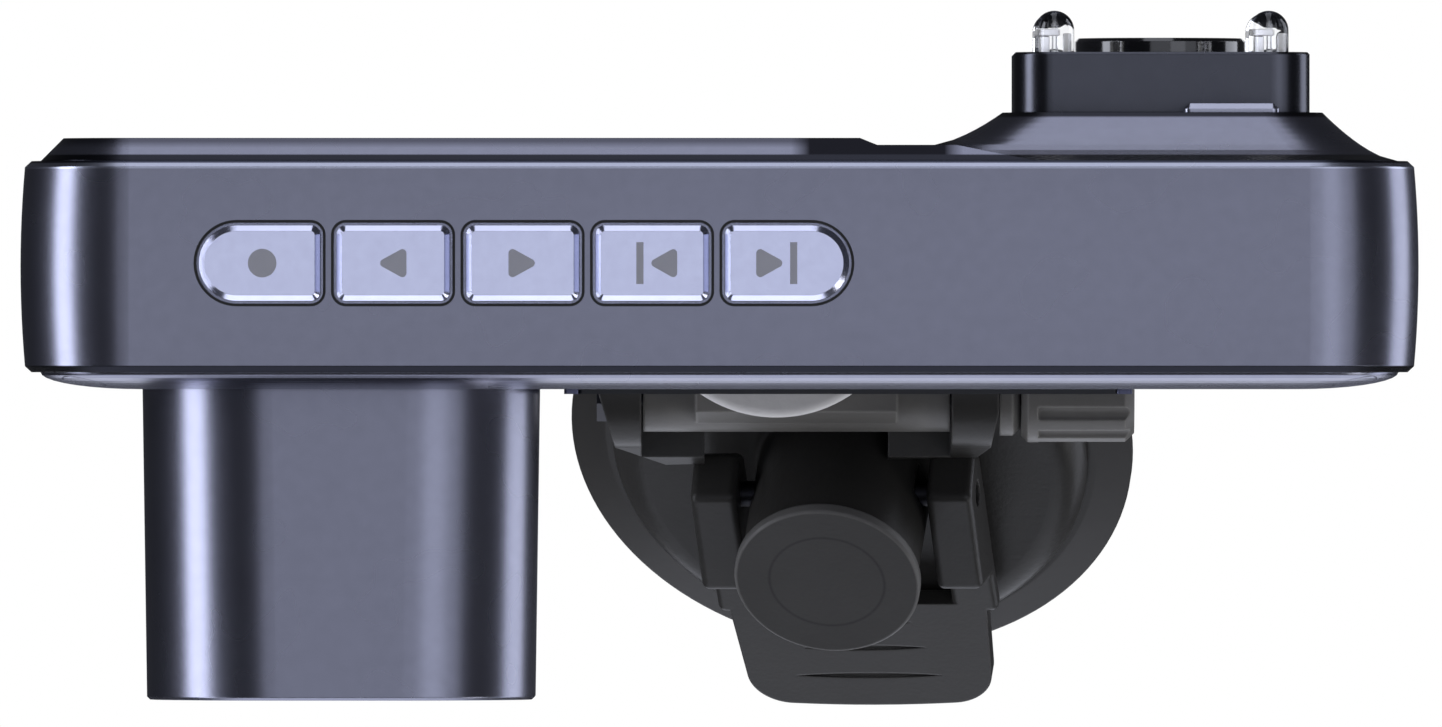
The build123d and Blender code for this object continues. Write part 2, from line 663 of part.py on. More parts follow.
ring_face = MODULE_FACE - RING_PROUD
led_board_y = MODULE_FACE + MODULE_WALL + 0.1
lens_ring = disc(MODULE_X, 0, RING_RADIUS, ring_face, MODULE_FACE)
lens_ring = chamfer(lens_ring.faces().sort_by(Axis.Y)[0].edges(), 0.25)
lens_ring += disc(MODULE_X, 0, LENS_BORE + 0.95, MODULE_FACE, MODULE_FACE + MODULE_WALL)
lens_ring -= disc(MODULE_X, 0, LENS_BORE, ring_face - 1, MODULE_FACE + MODULE_WALL + 1)
inner_lens = dome_lens(MODULE_X, 0, LENS_BORE - 0.05, MODULE_FACE + 0.5, 0.5, 0.8, -1)
inner_tube = disc(MODULE_X, 0, LENS_BORE - 0.1, MODULE_FACE + 0.5, PLINTH_FACE - 0.9)
module_board = MODULE_SIZE - 2 * MODULE_WALL - 0.4
led_board = panel(MODULE_X, 0, module_board, module_board, 1.4, led_board_y, led_board_y + 0.8)
led_board -= disc(MODULE_X, 0, LENS_BORE + 0.2, led_board_y - 1, led_board_y + 2)
inner_board = panel(MODULE_X, 0, module_board, module_board, 1.4, PLINTH_FACE - 0.9, PLINTH_FACE - 0.05)


def led(x, z):
    crown = MODULE_FACE - LED_PROUD + LED_RADIUS
    return disc(x, z, LED_RADIUS, crown, led_board_y) + Pos(x, crown, z) * Sphere(LED_RADIUS)


keep("interior_housing", module_housing())
keep("interior_lens_ring", lens_ring)
keep("interior_lens", inner_lens)
keep("interior_lens_tube", inner_tube)
keep("infrared_board", led_board)
keep("interior_sensor_board", inner_board)
keep("infrared_lamps", group(led(x, z) for x, z in led_spots()))
interior_flex = block(MODULE_X - 4, MODULE_X + 4, PLINTH_FACE - 0.05, BOARD_Y, -6.2, -5.9)

# ---------------------------------------------------------------- rear key
key_flange_y = PLINTH_FACE + PLINTH_WALL + 0.1
rear_key_face = PLINTH_FACE - REAR_KEY_PROUD
rear_key = panel(REAR_KEY_X, REAR_KEY_Z, REAR_KEY_WIDTH, REAR_KEY_HEIGHT, 0.5, rear_key_face, key_flange_y)
rear_key = chamfer(rear_key.faces().sort_by(Axis.Y)[0].edges(), 0.4)
flange_size = (REAR_KEY_WIDTH + 1.2, REAR_KEY_HEIGHT + 1.2)
rear_key += panel(REAR_KEY_X, REAR_KEY_Z, *flange_size, 0.5, key_flange_y, key_flange_y + 0.5)
switch_y = key_flange_y + 0.5 + REAR_KEY_TRAVEL + 0.08
rear_board_y = REAR + COVER_PLATE
rear_switch = panel(REAR_KEY_X, REAR_KEY_Z, 4.0, 3.0, 0.3, switch_y + 0.5, rear_board_y)
rear_switch += disc(REAR_KEY_X, REAR_KEY_Z, 0.9, switch_y, switch_y + 0.5)
module_half = MODULE_SIZE / 2
rear_board = block(
    MODULE_X - module_half,
    MODULE_X + module_half,
    rear_board_y,
    rear_board_y + 0.8,
    REAR_KEY_Z - 2.4,
    REAR_KEY_Z + 2.4,
)
keep("rear_key", rear_key)
keep("rear_key_switch", rear_switch)
keep("rear_key_board", rear_board)

# ---------------------------------------------------------------- keys under the case
switches = []
for key_name, key_x0, key_x1 in key_places():
    cap = extrude(key_outline(key_name, key_x0, key_x1, 0, KEY_FACE), INNER_BOTTOM + 0.15 - KEY_FACE)
    cap = chamfer(cap.faces().sort_by(Axis.Z)[0].edges(), KEY_BEVEL)
    cap += extrude(key_outline(key_name, key_x0, key_x1, 0.5, INNER_BOTTOM + 0.15), KEY_FLANGE)
    keep(key_name, cap)
    middle_x = (key_x0 + key_x1) / 2
    half = SWITCH_SIZE / 2
    low = SWITCH_BASE - SWITCH_HEIGHT
    switch = block(middle_x - half, middle_x + half, KEY_Y - half, KEY_Y + half, low, SWITCH_BASE)
    switches.append(switch + post(middle_x, KEY_Y, 1.0, low - 0.5, SWITCH_BASE))
keep("key_switches", group(switches))
board_left, board_right = key_board_ends
board_face = SWITCH_BASE + BOARD_THICKNESS
key_board = block(board_left - 1.5, board_right + 1.5, -5, 5, SWITCH_BASE, board_face)
keep("key_board", key_board)

# ---------------------------------------------------------------- electronics
board_half = CASE_WIDTH / 2 - BOARD_END_GAP
board_top = BOARD_HEIGHT / 2
board_front = BOARD_Y + BOARD_THICKNESS
board = block(-board_half, board_half, BOARD_Y, board_front, -board_top, board_top)
for end_x, rib_z in rib_spots():
    board -= disc(board_screw_x(end_x), rib_z, SCREW_RADIUS, BOARD_Y - 1, board_front + 1)
chips = [
    block(-16, -2, BOARD_Y - 1.2, BOARD_Y, -2, 12),
    block(4, 13, BOARD_Y - 1.0, BOARD_Y, -2, 10),
    block(-30, -22, BOARD_Y - 1.0, BOARD_Y, 2, 10),
]
can = block(-16, 6, board_front, board_front + 2.2, -14, 4)
can -= block(-15.7, 5.7, board_front - 1, board_front + 1.9, -13.7, 3.7)
battery_width, battery_depth, battery_height = BATTERY_SIZE
battery_x = SPEAKER_RADIUS + 5.0 + battery_width / 2
battery_y = board_front + 0.05
battery = panel(battery_x, -3.0, battery_width, battery_height, 1.5, battery_y, board_front + battery_depth)
board_screws = group(
    disc(board_screw_x(end_x), rib_z, SCREW_RADIUS - SCREW_GAP, BOARD_Y, BOARD_Y + 3.0)
    + disc(board_screw_x(end_x), rib_z, BOARD_SCREW_HEAD, BOARD_Y - 0.8, BOARD_Y)
    for end_x, rib_z in rib_spots()
)
keep("main_board", board)
keep("main_chips", group(chips))
keep("shield_can", can)
keep("battery_pack", battery)
keep("board_screws", board_screws)
front_flex = block(BARREL_X - 5, BARREL_X + 5, board_front, board_y, -9.3, -9.0)
keep("flat_cables", group([screen_flex, interior_flex, front_flex]))
mic_x = LEFT + SCREEN_FROM_LEFT + GLASS_WIDTH / 2 + 3.2
keep("microphone", disc(mic_x, BOTTOM + 8.0, 1.9, REAR + COVER_PLATE, REAR + COVER_PLATE + 1.2))


def usb_socket():
    middle_y = board_front + USB_HEIGHT / 2
    outline = RectangleRounded(USB_WIDTH, USB_HEIGHT, USB_HEIGHT / 2 - 0.01)
    bore = (USB_WIDTH - 2 * USB_WALL, USB_HEIGHT - 2 * USB_WALL)
    inside = RectangleRounded(*bore, USB_HEIGHT / 2 - USB_WALL - 0.01)
    low = TOP - 0.3 - USB_LENGTH
    socket = extrude(facing_up(USB_X, middle_y, low) * outline, USB_LENGTH)
    socket -= extrude(facing_up(USB_X, middle_y, low + 1.0) * inside, USB_LENGTH)
    tongue = block(USB_X - 3.3, USB_X + 3.3, middle_y - 0.35, middle_y + 0.35, low + 0.5, TOP - 1.2)
    return socket + tongue


card_y = card_middle()
card_out = RIGHT - 0.2
card_half = CARD_THICKNESS / 2
card_side = CARD_WIDTH / 2
card_in = card_out - CARD_LENGTH
card_low = CARD_Z - card_side
card_high = CARD_Z + card_side
card = block(card_in, card_out, card_y - card_half, card_y + card_half, card_low, card_high)
card += block(card_out - 1.0, card_out, card_y - 0.6, card_y + card_half, CARD_Z - 5.0, CARD_Z + 5.0)
socket_end = RIGHT - CASE_WALL - 0.3
card_socket = block(socket_end - 14.6, socket_end, BOARD_Y - 2.0, BOARD_Y, CARD_Z - 7, CARD_Z + 7)
slot_low = card_y - card_half - 0.1
slot_high = card_y + card_half + 0.1
card_socket -= block(card_in - 0.1, socket_end + 1, slot_low, slot_high, card_low - FIT, card_high + FIT)
keep("usb_socket", usb_socket())
keep("card_socket", card_socket)
keep("memory_card", card)

# ---------------------------------------------------------------- shoe, slide plate and turntable
shoe_x0 = TURNTABLE_X - SHOE_LENGTH / 2
shoe_x1 = TURNTABLE_X + SHOE_LENGTH / 2
shoe_half = SHOE_WIDTH / 2
slot_half = SLIDE_WIDTH / 2 + FIT
neck_half = SLIDE_NECK / 2 + FIT
lip_bottom = SLIDE_BOTTOM + SLIDE_THICKNESS + SLIDE_GAP
stop = 2.0
shoe = block(shoe_x0, shoe_x1, SHOE_Y - shoe_half, SHOE_Y + shoe_half, TOP, SHOE_TOP)
shoe_floor = TOP + SHOE_FLOOR
shoe -= block(shoe_x0 + stop, shoe_x1 + 1, SHOE_Y - slot_half, SHOE_Y + slot_half, shoe_floor, lip_bottom)
shoe -= block(shoe_x0 + stop, shoe_x1 + 1, SHOE_Y - neck_half, SHOE_Y + neck_half, shoe_floor, SHOE_TOP + 1)
slide_x0 = shoe_x0 + stop + FIT
slide_x1 = slide_x0 + SLIDE_LENGTH
slide_half = SLIDE_WIDTH / 2
slide_neck = SLIDE_NECK / 2
slide_top = SLIDE_BOTTOM + SLIDE_THICKNESS
slide = block(slide_x0, slide_x1, SHOE_Y - slide_half, SHOE_Y + slide_half, SLIDE_BOTTOM, slide_top)
slide += block(slide_x0, slide_x1, SHOE_Y - slide_neck, SHOE_Y + slide_neck, SLIDE_BOTTOM, SHOE_TOP + 0.2)
slide += post(TURNTABLE_X, SHOE_Y, TURNTABLE_RADIUS - 3.0, SHOE_TOP + 0.2, TURNTABLE_BOTTOM - 0.1)
slide -= post(TURNTABLE_X, SHOE_Y, BOLT_RADIUS + 0.02, TOP, TURNTABLE_BOTTOM + 1)
slide -= post(TURNTABLE_X, SHOE_Y, 2.7, TOP, SLIDE_BOTTOM + 1.0)
pan_screw = post(TURNTABLE_X, SHOE_Y, BOLT_RADIUS, SLIDE_BOTTOM + 1.0, TURNTABLE_TOP - 0.4)
pan_screw += post(TURNTABLE_X, SHOE_Y, 2.6, SLIDE_BOTTOM + 0.1, SLIDE_BOTTOM + 1.0)
turntable = post(TURNTABLE_X, SHOE_Y, TURNTABLE_RADIUS, TURNTABLE_BOTTOM, TURNTABLE_TOP)
turntable = fillet(turntable.edges().filter_by(GeomType.CIRCLE), 0.6)
turntable -= post(TURNTABLE_X, SHOE_Y, BOLT_RADIUS + SHAFT_GAP, TURNTABLE_BOTTOM - 1, TURNTABLE_TOP - 0.3)
keep("mount_shoe", shoe)
keep("slide_plate", slide)
keep("pan_screw", pan_screw)
keep("turntable", turntable)

# ---------------------------------------------------------------- tilt head, bolt, washer and knob
hinge_x0 = HINGE_X - HINGE_LENGTH / 2
hinge_x1 = HINGE_X + HINGE_LENGTH / 2
web_plane = facing_right(hinge_x0 + 4.0, HINGE_Y, HINGE_HEIGHT)
foot = TURNTABLE_TOP - HINGE_HEIGHT
web_points = [(-8.4, foot), (2.0, foot), (3.2, 0), (0, 2.4), (-3.3, 0.6), (-8.4, foot + 1.2)]
web = extrude(web_plane * make_face(Polyline(*web_points, close=True)), HINGE_LENGTH - 8.0)
tilt_head = rod(HINGE_Y, HINGE_HEIGHT, HINGE_RADIUS, hinge_x0, hinge_x1) + web
tilt_head -= rod(HINGE_Y, HINGE_HEIGHT, BOLT_RADIUS + SHAFT_GAP, hinge_x0 - 1, hinge_x1 + 1)
ear_left = HINGE_X - EAR_OUTER
ear_right = HINGE_X + EAR_OUTER
washer_end = ear_right + 0.05 + WASHER_THICKNESS
knob_x0 = washer_end + 0.05
knob_x1 = knob_x0 + KNOB_LENGTH
bolt_seat = ear_left + BOLT_SEAT
bolt = rod(HINGE_Y, HINGE_HEIGHT, BOLT_RADIUS, bolt_seat, knob_x0 + 6.0)
head_plane = facing_right(bolt_seat - BOLT_HEAD, HINGE_Y, HINGE_HEIGHT)
bolt_head = extrude(head_plane * RegularPolygon(2.7, 6), BOLT_HEAD)
washer = rod(HINGE_Y, HINGE_HEIGHT, KNOB_RADIUS - 0.5, ear_right + 0.05, washer_end)
washer = chamfer(washer.faces().sort_by(Axis.X)[-1].edges(), 0.6)
washer -= rod(HINGE_Y, HINGE_HEIGHT, BOLT_RADIUS + SHAFT_GAP, ear_right - 1, washer_end + 1)


def knob():
    body = rod(HINGE_Y, HINGE_HEIGHT, KNOB_RADIUS, knob_x0, knob_x1)
    body = chamfer(body.faces().sort_by(Axis.X)[-1].edges(), 0.7)
    body = chamfer(body.faces().sort_by(Axis.X)[0].edges(), 0.5)
    for rib in range(KNOB_RIBS):
        turn = 2 * math.pi * rib / KNOB_RIBS
        y = HINGE_Y + (KNOB_RADIUS + 0.35) * math.cos(turn)
        z = HINGE_HEIGHT + (KNOB_RADIUS + 0.35) * math.sin(turn)
        body -= rod(y, z, 0.7, knob_x0 + 1.3, knob_x1 + 1)
    return body - rod(HINGE_Y, HINGE_HEIGHT, 2.3, knob_x0 - 1, knob_x0 + 6.4)


insert = rod(HINGE_Y, HINGE_HEIGHT, 2.28, knob_x0, knob_x0 + 6.3)
insert -= rod(HINGE_Y, HINGE_HEIGHT, BOLT_RADIUS + SHAFT_GAP, knob_x0 - 1, knob_x0 + 7)
keep("tilt_head", tilt_head)
keep("hinge_bolt", bolt + bolt_head)
keep("clamp_washer", washer)
keep("clamp_knob", knob())
keep("knob_insert", insert)


# ---------------------------------------------------------------- suction base with its fork
def turned(points_outline):
    """A solid of revolution about the pad's axis, from a radius and height outline."""
    return revolve(Plane.XZ * make_face(points_outline), Axis.Z)


def dome_blank():
    low = PAD_THICKNESS
    shoulder = DOME_RADIUS - 2.6
    outline = Polyline((0, low), (DOME_RADIUS, low), (DOME_RADIUS, low + 0.6))
    bend = (DOME_RADIUS - 0.9, DOME_TOP - 0.7)
    outline += ThreePointArc((DOME_RADIUS, low + 0.6), bend, (shoulder, DOME_TOP))
    outline += Polyline((shoulder, DOME_TOP), (POST_RADIUS + 0.5, DOME_TOP))
    outline += ThreePointArc(
        (POST_RADIUS + 0.5, DOME_TOP), (POST_RADIUS + 0.15, DOME_TOP + 0.15), (POST_RADIUS, DOME_TOP + 0.5)
    )
    outline += Polyline((POST_RADIUS, DOME_TOP + 0.5), (POST_RADIUS, POST_TOP), (0, POST_TOP), (0, low))
    return turned(outline)


def fork():
    """Two ears on a yoke, drawn about the camera's case, that reach up to the dome."""
    yoke_z = HINGE_RADIUS + 0.45
    reach = 15.0
    front = [(-EAR_OUTER, -EAR_RADIUS), (-EAR_OUTER, 4.6), (-8.6, 9.6), (-8.6, reach), (12.4, reach)]
    front += [(12.4, 9.6), (EAR_OUTER, 4.6), (EAR_OUTER, -EAR_RADIUS)]
    front_plane = Plane(origin=(HINGE_X, HINGE_Y - 12, HINGE_HEIGHT), x_dir=(1, 0, 0), z_dir=(0, -1, 0))
    broad = extrude(front_plane * make_face(Polyline(*front, close=True)), -30)
    side_plane = facing_right(HINGE_X - EAR_OUTER - 1, HINGE_Y, HINGE_HEIGHT)
    stem_side = [(-EAR_RADIUS, 0), (EAR_RADIUS, 0), (EAR_RADIUS + EAR_WIDENING, 9.6)]
    stem_side += [(EAR_RADIUS + EAR_WIDENING, reach), (-EAR_RADIUS, reach)]
    side = Circle(EAR_RADIUS) + make_face(Polyline(*stem_side, close=True))
    solid = broad & extrude(side_plane * side, 2 * EAR_OUTER + 2)
    from_above = [(-EAR_OUTER, -9), (-EAR_OUTER, -0.5), (-EAR_OUTER + EAR_SLANT, EAR_RADIUS)]
    from_above += [(-8.6, EAR_RADIUS + EAR_WIDENING), (12.4, EAR_RADIUS + EAR_WIDENING)]
    from_above += [(EAR_OUTER - 0.6, EAR_RADIUS), (EAR_OUTER, 2.0), (EAR_OUTER, -9)]
    above_plane = facing_up(HINGE_X, HINGE_Y, HINGE_HEIGHT - 9)
    solid &= extrude(above_plane * make_face(Polyline(*from_above, close=True)), 30)
    slot = (HINGE_X - EAR_INNER, HINGE_X + EAR_INNER, HINGE_Y - 9, HINGE_Y + 9)
    solid -= block(*slot, HINGE_HEIGHT - 9, HINGE_HEIGHT + yoke_z)
    below = (HINGE_X - YOKE_HALF, HINGE_X + YOKE_HALF, HINGE_Y + YOKE_REACH, HINGE_Y + 12)
    solid -= block(*below, HINGE_HEIGHT - 9, HINGE_HEIGHT + 20)
    solid -= rod(HINGE_Y, HINGE_HEIGHT, BOLT_RADIUS + 0.02, ear_left - 1, ear_right + 1)
    pocket_plane = facing_right(ear_left - 1, HINGE_Y, HINGE_HEIGHT)
    solid -= extrude(pocket_plane * RegularPolygon(2.75, 6), 1 + BOLT_SEAT)
    return glass_place.inverse() * camera_place * solid


def suction_base():
    low = PAD_THICKNESS
    outside = fork()
    outside -= block(-30, 30, -60, 60, -60, low + 0.4)
    outside &= turned(Polyline((0, low), (60, low), (60, 60), (0, 60), close=True))
    inside_post = block(-30, 30, -30, -PIN_S + 3.6, low, 60)
    near_arms = outside & inside_post
    outside -= near_arms
    base = dome_blank() + outside
    ceiling = DOME_TOP - DOME_WALL
    mouth = DOME_RADIUS - 1.6
    cavity = [(0, 0), (mouth, 0), (mouth, low + 0.6), (mouth - 1.6, ceiling), (0, ceiling)]
    base -= turned(Polyline(*cavity, close=True))
    base -= extrude(Circle(STEM_RADIUS + STEM_BORE_GAP), POST_TOP + 1)
    slot_low = PIN_T - STEM_TRAVEL - PIN_RADIUS - 0.1
    slot_high = PIN_T + PIN_RADIUS + 0.1
    half = PIN_RADIUS + 0.08
    base -= block(-POST_RADIUS - 1, POST_RADIUS + 1, -PIN_S - half, -PIN_S + half, slot_low, slot_high)
    return base


foot_bottom = DOME_TOP - DOME_WALL - FOOT_THICKNESS - 0.1


def suction_pad():
    low = PAD_THICKNESS
    outline = Polyline(
        (0, 0.7),
        (PAD_POCKET_RADIUS - 3, 0.5),
        (PAD_POCKET_RADIUS, 0),
        (PAD_RADIUS, 0),
        (PAD_RADIUS, PAD_RIM),
        (DOME_RADIUS + 0.6, low),
        (FOOT_RADIUS + 2.2, low),
        (FOOT_RADIUS, foot_bottom),
        (0, foot_bottom),
        close=True,
    )
    return turned(outline)


stem = extrude(Pos(0, 0, foot_bottom) * Circle(STEM_RADIUS), STEM_TOP - foot_bottom)
stem += extrude(Pos(0, 0, foot_bottom) * Circle(FOOT_RADIUS), FOOT_THICKNESS)
pin_line = Plane(origin=(-ARM_OUTER + 0.3, -PIN_S, PIN_T), x_dir=(0, 1, 0), z_dir=(1, 0, 0))
pin = extrude(pin_line * Circle(PIN_RADIUS), 2 * ARM_OUTER - 0.6)
stem -= extrude(pin_line * Circle(PIN_RADIUS + 0.01), 2 * ARM_OUTER)
post_cap = extrude(Pos(0, 0, POST_TOP) * Circle(CAP_RADIUS), CAP_THICKNESS)
post_cap = chamfer(post_cap.faces().sort_by(Axis.Z)[-1].edges(), 0.15)
post_cap += extrude(Pos(0, 0, POST_TOP - CAP_PLUG) * Circle(STEM_RADIUS), CAP_PLUG)
spring_room = POST_TOP - CAP_PLUG - STEM_TOP
coil_gap = SPRING_WIRE + 0.03
coil = Helix(pitch=SPRING_PITCH, height=spring_room - 2 * coil_gap, radius=STEM_RADIUS - 1.0)
coil_end = Plane(origin=coil @ 0, z_dir=coil % 0)
spring = Pos(0, 0, STEM_TOP + coil_gap) * sweep(coil_end * Circle(SPRING_WIRE), path=coil, is_frenet=True)


def lever():
    """Two arms beside the post and a thumb tab in front of it; s runs towards the tab."""
    side = Plane(origin=(0, 0, 0), x_dir=(0, -1, 0), z_dir=(-1, 0, 0))
    across = (1, 0, 0)
    slope = (TAB_TIP_T - TAB_ROOT_T) / (TAB_LENGTH - TAB_ROOT_S)
    join_s = TAB_START + 1.0
    join_t = TAB_ROOT_T + slope * (join_s - TAB_ROOT_S)
    arm = make_face(
        Polyline(
            (PIN_S - 3.2, PIN_T - 0.9),
            (PIN_S - 2.0, ARM_TOP_T),
            (ARM_END_S, ARM_TOP_T),
            (ARM_END_S + 2.6, join_t + TAB_THICKNESS + slope * (ARM_END_S + 2.6 - join_s)),
            (join_s, join_t + TAB_THICKNESS),
            (join_s, join_t),
            (TAB_ROOT_S, TAB_ROOT_T),
            (PIN_S + 1.6, PIN_T - 3.1),
            (PIN_S - 1.6, PIN_T - 2.9),
            close=True,
        )
    )
    arm = fillet(arm.vertices(), ARM_EDGE + 0.05)
    both = None
    for start in (-ARM_OUTER, ARM_INNER):
        one = Pos(start, 0, 0) * extrude(side * arm, ARM_THICKNESS, dir=across)
        ends = one.faces().filter_by(Axis.X)
        one = fillet(ends[0].edges() + ends[1].edges(), ARM_EDGE)
        both = one if both is None else both + one
    tab = Polyline(
        (TAB_ROOT_S, TAB_ROOT_T),
        (TAB_LENGTH, TAB_TIP_T),
        (TAB_LENGTH, TAB_TIP_T + TAB_THICKNESS),
        (TAB_ROOT_S, TAB_ROOT_T + TAB_THICKNESS),
        close=True,
    )
    plate = Pos(-ARM_OUTER, 0, 0) * extrude(side * make_face(tab), 2 * ARM_OUTER, dir=across)
    near = -TAB_LENGTH + TAB_BOW
    front_edge = ThreePointArc((TAB_TIP_HALF, near), (0, -TAB_LENGTH), (-TAB_TIP_HALF, near))
    back = [(-TAB_TIP_HALF, near), (-TAB_ROOT_HALF, -TAB_START)]
    back += [(TAB_ROOT_HALF, -TAB_START), (TAB_TIP_HALF, near)]
    outline = make_face(front_edge + Polyline(*back))
    corners = outline.vertices().sort_by(Axis.Y)[:2]
    plate &= extrude(fillet(corners, TAB_CORNER), 20)
    for s, half in GRIP_LINES:
        top = TAB_ROOT_T + TAB_THICKNESS + slope * (s - TAB_ROOT_S)
        lens = ThreePointArc((-half, 0), (0, GRIP_HALF_WIDTH), (half, 0))
        lens += ThreePointArc((half, 0), (0, -GRIP_HALF_WIDTH), (-half, 0))
        plate -= extrude(Pos(0, -s, top - GRIP_DEPTH) * make_face(lens), 1.0)
    both += plate
    return both - extrude(pin_line.offset(-2) * Circle(PIN_RADIUS + SHAFT_GAP), 2 * ARM_OUTER + 4)


keep("suction_base", suction_base(), glass_place)
keep("suction_pad", suction_pad(), glass_place)
keep("vacuum_stem", stem, glass_place)
keep("lever_pin", pin, glass_place)
keep("post_cap", post_cap, glass_place)
keep("stem_spring", spring, glass_place)
keep("lever", lever(), glass_place)

os.makedirs("parts", exist_ok=True)
for node, piece in pieces.items():
    export_step(piece, f"parts/{node}.step")
print(len(pieces), "nodes")
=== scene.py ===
# %% [markdown]
# # A dash camera on a suction mount
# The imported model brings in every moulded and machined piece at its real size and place. This lesson
# gives those pieces their finishes, adds the small things that are easier to make in mesh code than in
# CAD (the marks on the keys, the dark lines round them and the clear lamps), and sets up studio light.
# Everything is in metres, with +Y forward along the road and +Z up.

# %% Load the frame
import json
import math

import bmesh
import bpy
from mathutils import Matrix, Vector


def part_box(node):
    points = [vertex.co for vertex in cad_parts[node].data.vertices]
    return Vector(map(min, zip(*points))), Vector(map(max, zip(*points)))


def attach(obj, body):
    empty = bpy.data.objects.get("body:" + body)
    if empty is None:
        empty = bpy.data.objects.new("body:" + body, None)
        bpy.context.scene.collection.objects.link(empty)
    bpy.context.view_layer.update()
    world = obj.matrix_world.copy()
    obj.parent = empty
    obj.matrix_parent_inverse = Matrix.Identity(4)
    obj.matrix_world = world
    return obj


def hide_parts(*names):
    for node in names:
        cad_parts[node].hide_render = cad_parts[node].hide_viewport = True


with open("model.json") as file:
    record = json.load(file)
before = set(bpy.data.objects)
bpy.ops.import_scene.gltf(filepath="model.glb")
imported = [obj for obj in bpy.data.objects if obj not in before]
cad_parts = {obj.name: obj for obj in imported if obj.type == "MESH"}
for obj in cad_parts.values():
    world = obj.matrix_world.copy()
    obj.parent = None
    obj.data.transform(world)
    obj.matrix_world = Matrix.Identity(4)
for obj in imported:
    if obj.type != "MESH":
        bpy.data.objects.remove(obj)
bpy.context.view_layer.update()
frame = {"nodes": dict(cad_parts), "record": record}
nodes = frame["nodes"]
MM = 0.001

# %% [markdown]
# ## Small helpers
# Every piece made here starts as a bmesh, which is Blender's own editable mesh. Turning one into an object
# and tying it to a moving body is the same few lines each time, so it is a function.

# %% Helpers for places and meshes
def middle(node):
    """The centre of a node's box."""
    low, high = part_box(node)
    return (low + high) / 2


def make_object(name, bm, body):
    """Turn a bmesh into an object that moves with a body."""
    mesh = bpy.data.meshes.new(name)
    bmesh.ops.recalc_face_normals(bm, faces=bm.faces)
    bm.to_mesh(mesh)
    bm.free()
    piece = bpy.data.objects.new(name, mesh)
    bpy.context.scene.collection.objects.link(piece)
    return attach(piece, body)


def join_rings(bm, first, second):
    """Close the gap between two rings of equally many corners with a strip of faces."""
    for i in range(len(first)):
        j = (i + 1) % len(first)
        bm.faces.new((first[i], first[j], second[j], second[i]))


def smooth(piece, degrees=35):
    """Shade smooth, but keep edges sharper than the angle crisp."""
    piece.data.shade_smooth()
    piece.data.set_sharp_from_angle(angle=math.radians(degrees))
    return piece


# %% [markdown]
# ## The camera
# A product shot from far away with a long lens keeps parallel edges parallel, so the case's sides stay
# straight and the mount behind it isn't shrunk by perspective. The camera looks up from under the case,
# with the screen side at the top of the picture.

# %% Camera
LENS = 800.0
SENSOR = 36.0
VIEW_WIDTH = 107.14 * MM
AIM_RIGHT = 0.11 * MM
AIM_FORWARD = 7.2 * MM
SHARP_ABOVE_KEYS = 6 * MM
case_low, case_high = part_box("middle_shell")
case = (case_low + case_high) / 2
key_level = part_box("record_key")[0].z
distance = LENS / SENSOR * VIEW_WIDTH
camera_data = bpy.data.cameras.new("product_camera")
camera_data.lens = LENS
camera_data.sensor_width = SENSOR
camera_data.clip_start = 0.05
camera_data.clip_end = 50.0
camera = bpy.data.objects.new("product_camera", camera_data)
bpy.context.scene.collection.objects.link(camera)
camera.location = (case.x + AIM_RIGHT, case.y + AIM_FORWARD, key_level + SHARP_ABOVE_KEYS - distance)
camera.rotation_euler = (math.pi, 0, 0)
bpy.context.scene.camera = camera
print("camera distance", round(distance, 3), "m")

# %% [markdown]
# ## Studio light
# Satin metallic paint is mostly a blurred mirror, so the picture is made by what stands round the object:
# long softboxes give the bright bands along the rounded corners, and the dark between them gives the
# shape. Each box is set by its angle round the Y axis, counted from the camera towards +X, and by how
# far it leans towards +Y.

# %% Softboxes
centre = Vector((case.x, case.y, case.z))


def softbox(name, round_angle, lean, reach, width, length, radiance, tint=(1.0, 1.0, 1.0)):
    """A rectangular light that faces the object; radiance is its brightness as a mirror shows it."""
    turn = math.radians(round_angle)
    tip = math.radians(lean)
    way = Vector((math.sin(turn) * math.cos(tip), math.sin(tip), -math.cos(turn) * math.cos(tip)))
    light = bpy.data.lights.new(name, "AREA")
    light.shape = "RECTANGLE"
    light.size = width
    light.size_y = length
    light.energy = radiance * math.pi * width * length
    light.color = tint
    lamp = bpy.data.objects.new(name, light)
    bpy.context.scene.collection.objects.link(lamp)
    lamp.location = centre + way * reach
    side = Vector((0, 1, 0)) if abs(way.y) < 0.7 else Vector((1, 0, 0))
    across = side.cross(way).normalized()
    along = way.cross(across).normalized()
    lamp.rotation_euler = Matrix((across, along, way)).transposed().to_euler()
    return lamp


# Name, angle round Y, lean, distance, width, length, brightness, tint.
COOL = (0.86, 0.89, 1.0)
softbox("under_card", 0, 0, 3.2, 1.5, 2.6, 0.72, COOL)
softbox("left_strip", -74, 0, 1.4, 0.54, 2.6, 4.4, COOL)
softbox("right_near", 24, 0, 2.4, 0.86, 2.6, 1.30, COOL)
softbox("right_far", 42, 0, 2.4, 0.66, 2.6, 0.75, COOL)
softbox("right_rim", 113, 0, 1.6, 0.80, 2.6, 2.1, COOL)
softbox("screen_side", 0, -87, 1.6, 2.4, 0.55, 1.2, COOL)
softbox("road_side", 180, 67, 1.8, 3.0, 1.6, 1.5, COOL)
softbox("mount_fill", 75, 35, 1.5, 0.5, 0.5, 4.5)

# %% [markdown]
# ## World and floor
# The backdrop that the lens sees is white, and what the paint mirrors is a dim room, as with a white
# cloth hung behind the object and black flags round it. Rays that pass through clear resin see the white
# cloth as well, so the lamps look clear. The floor lies far below, and is pale.

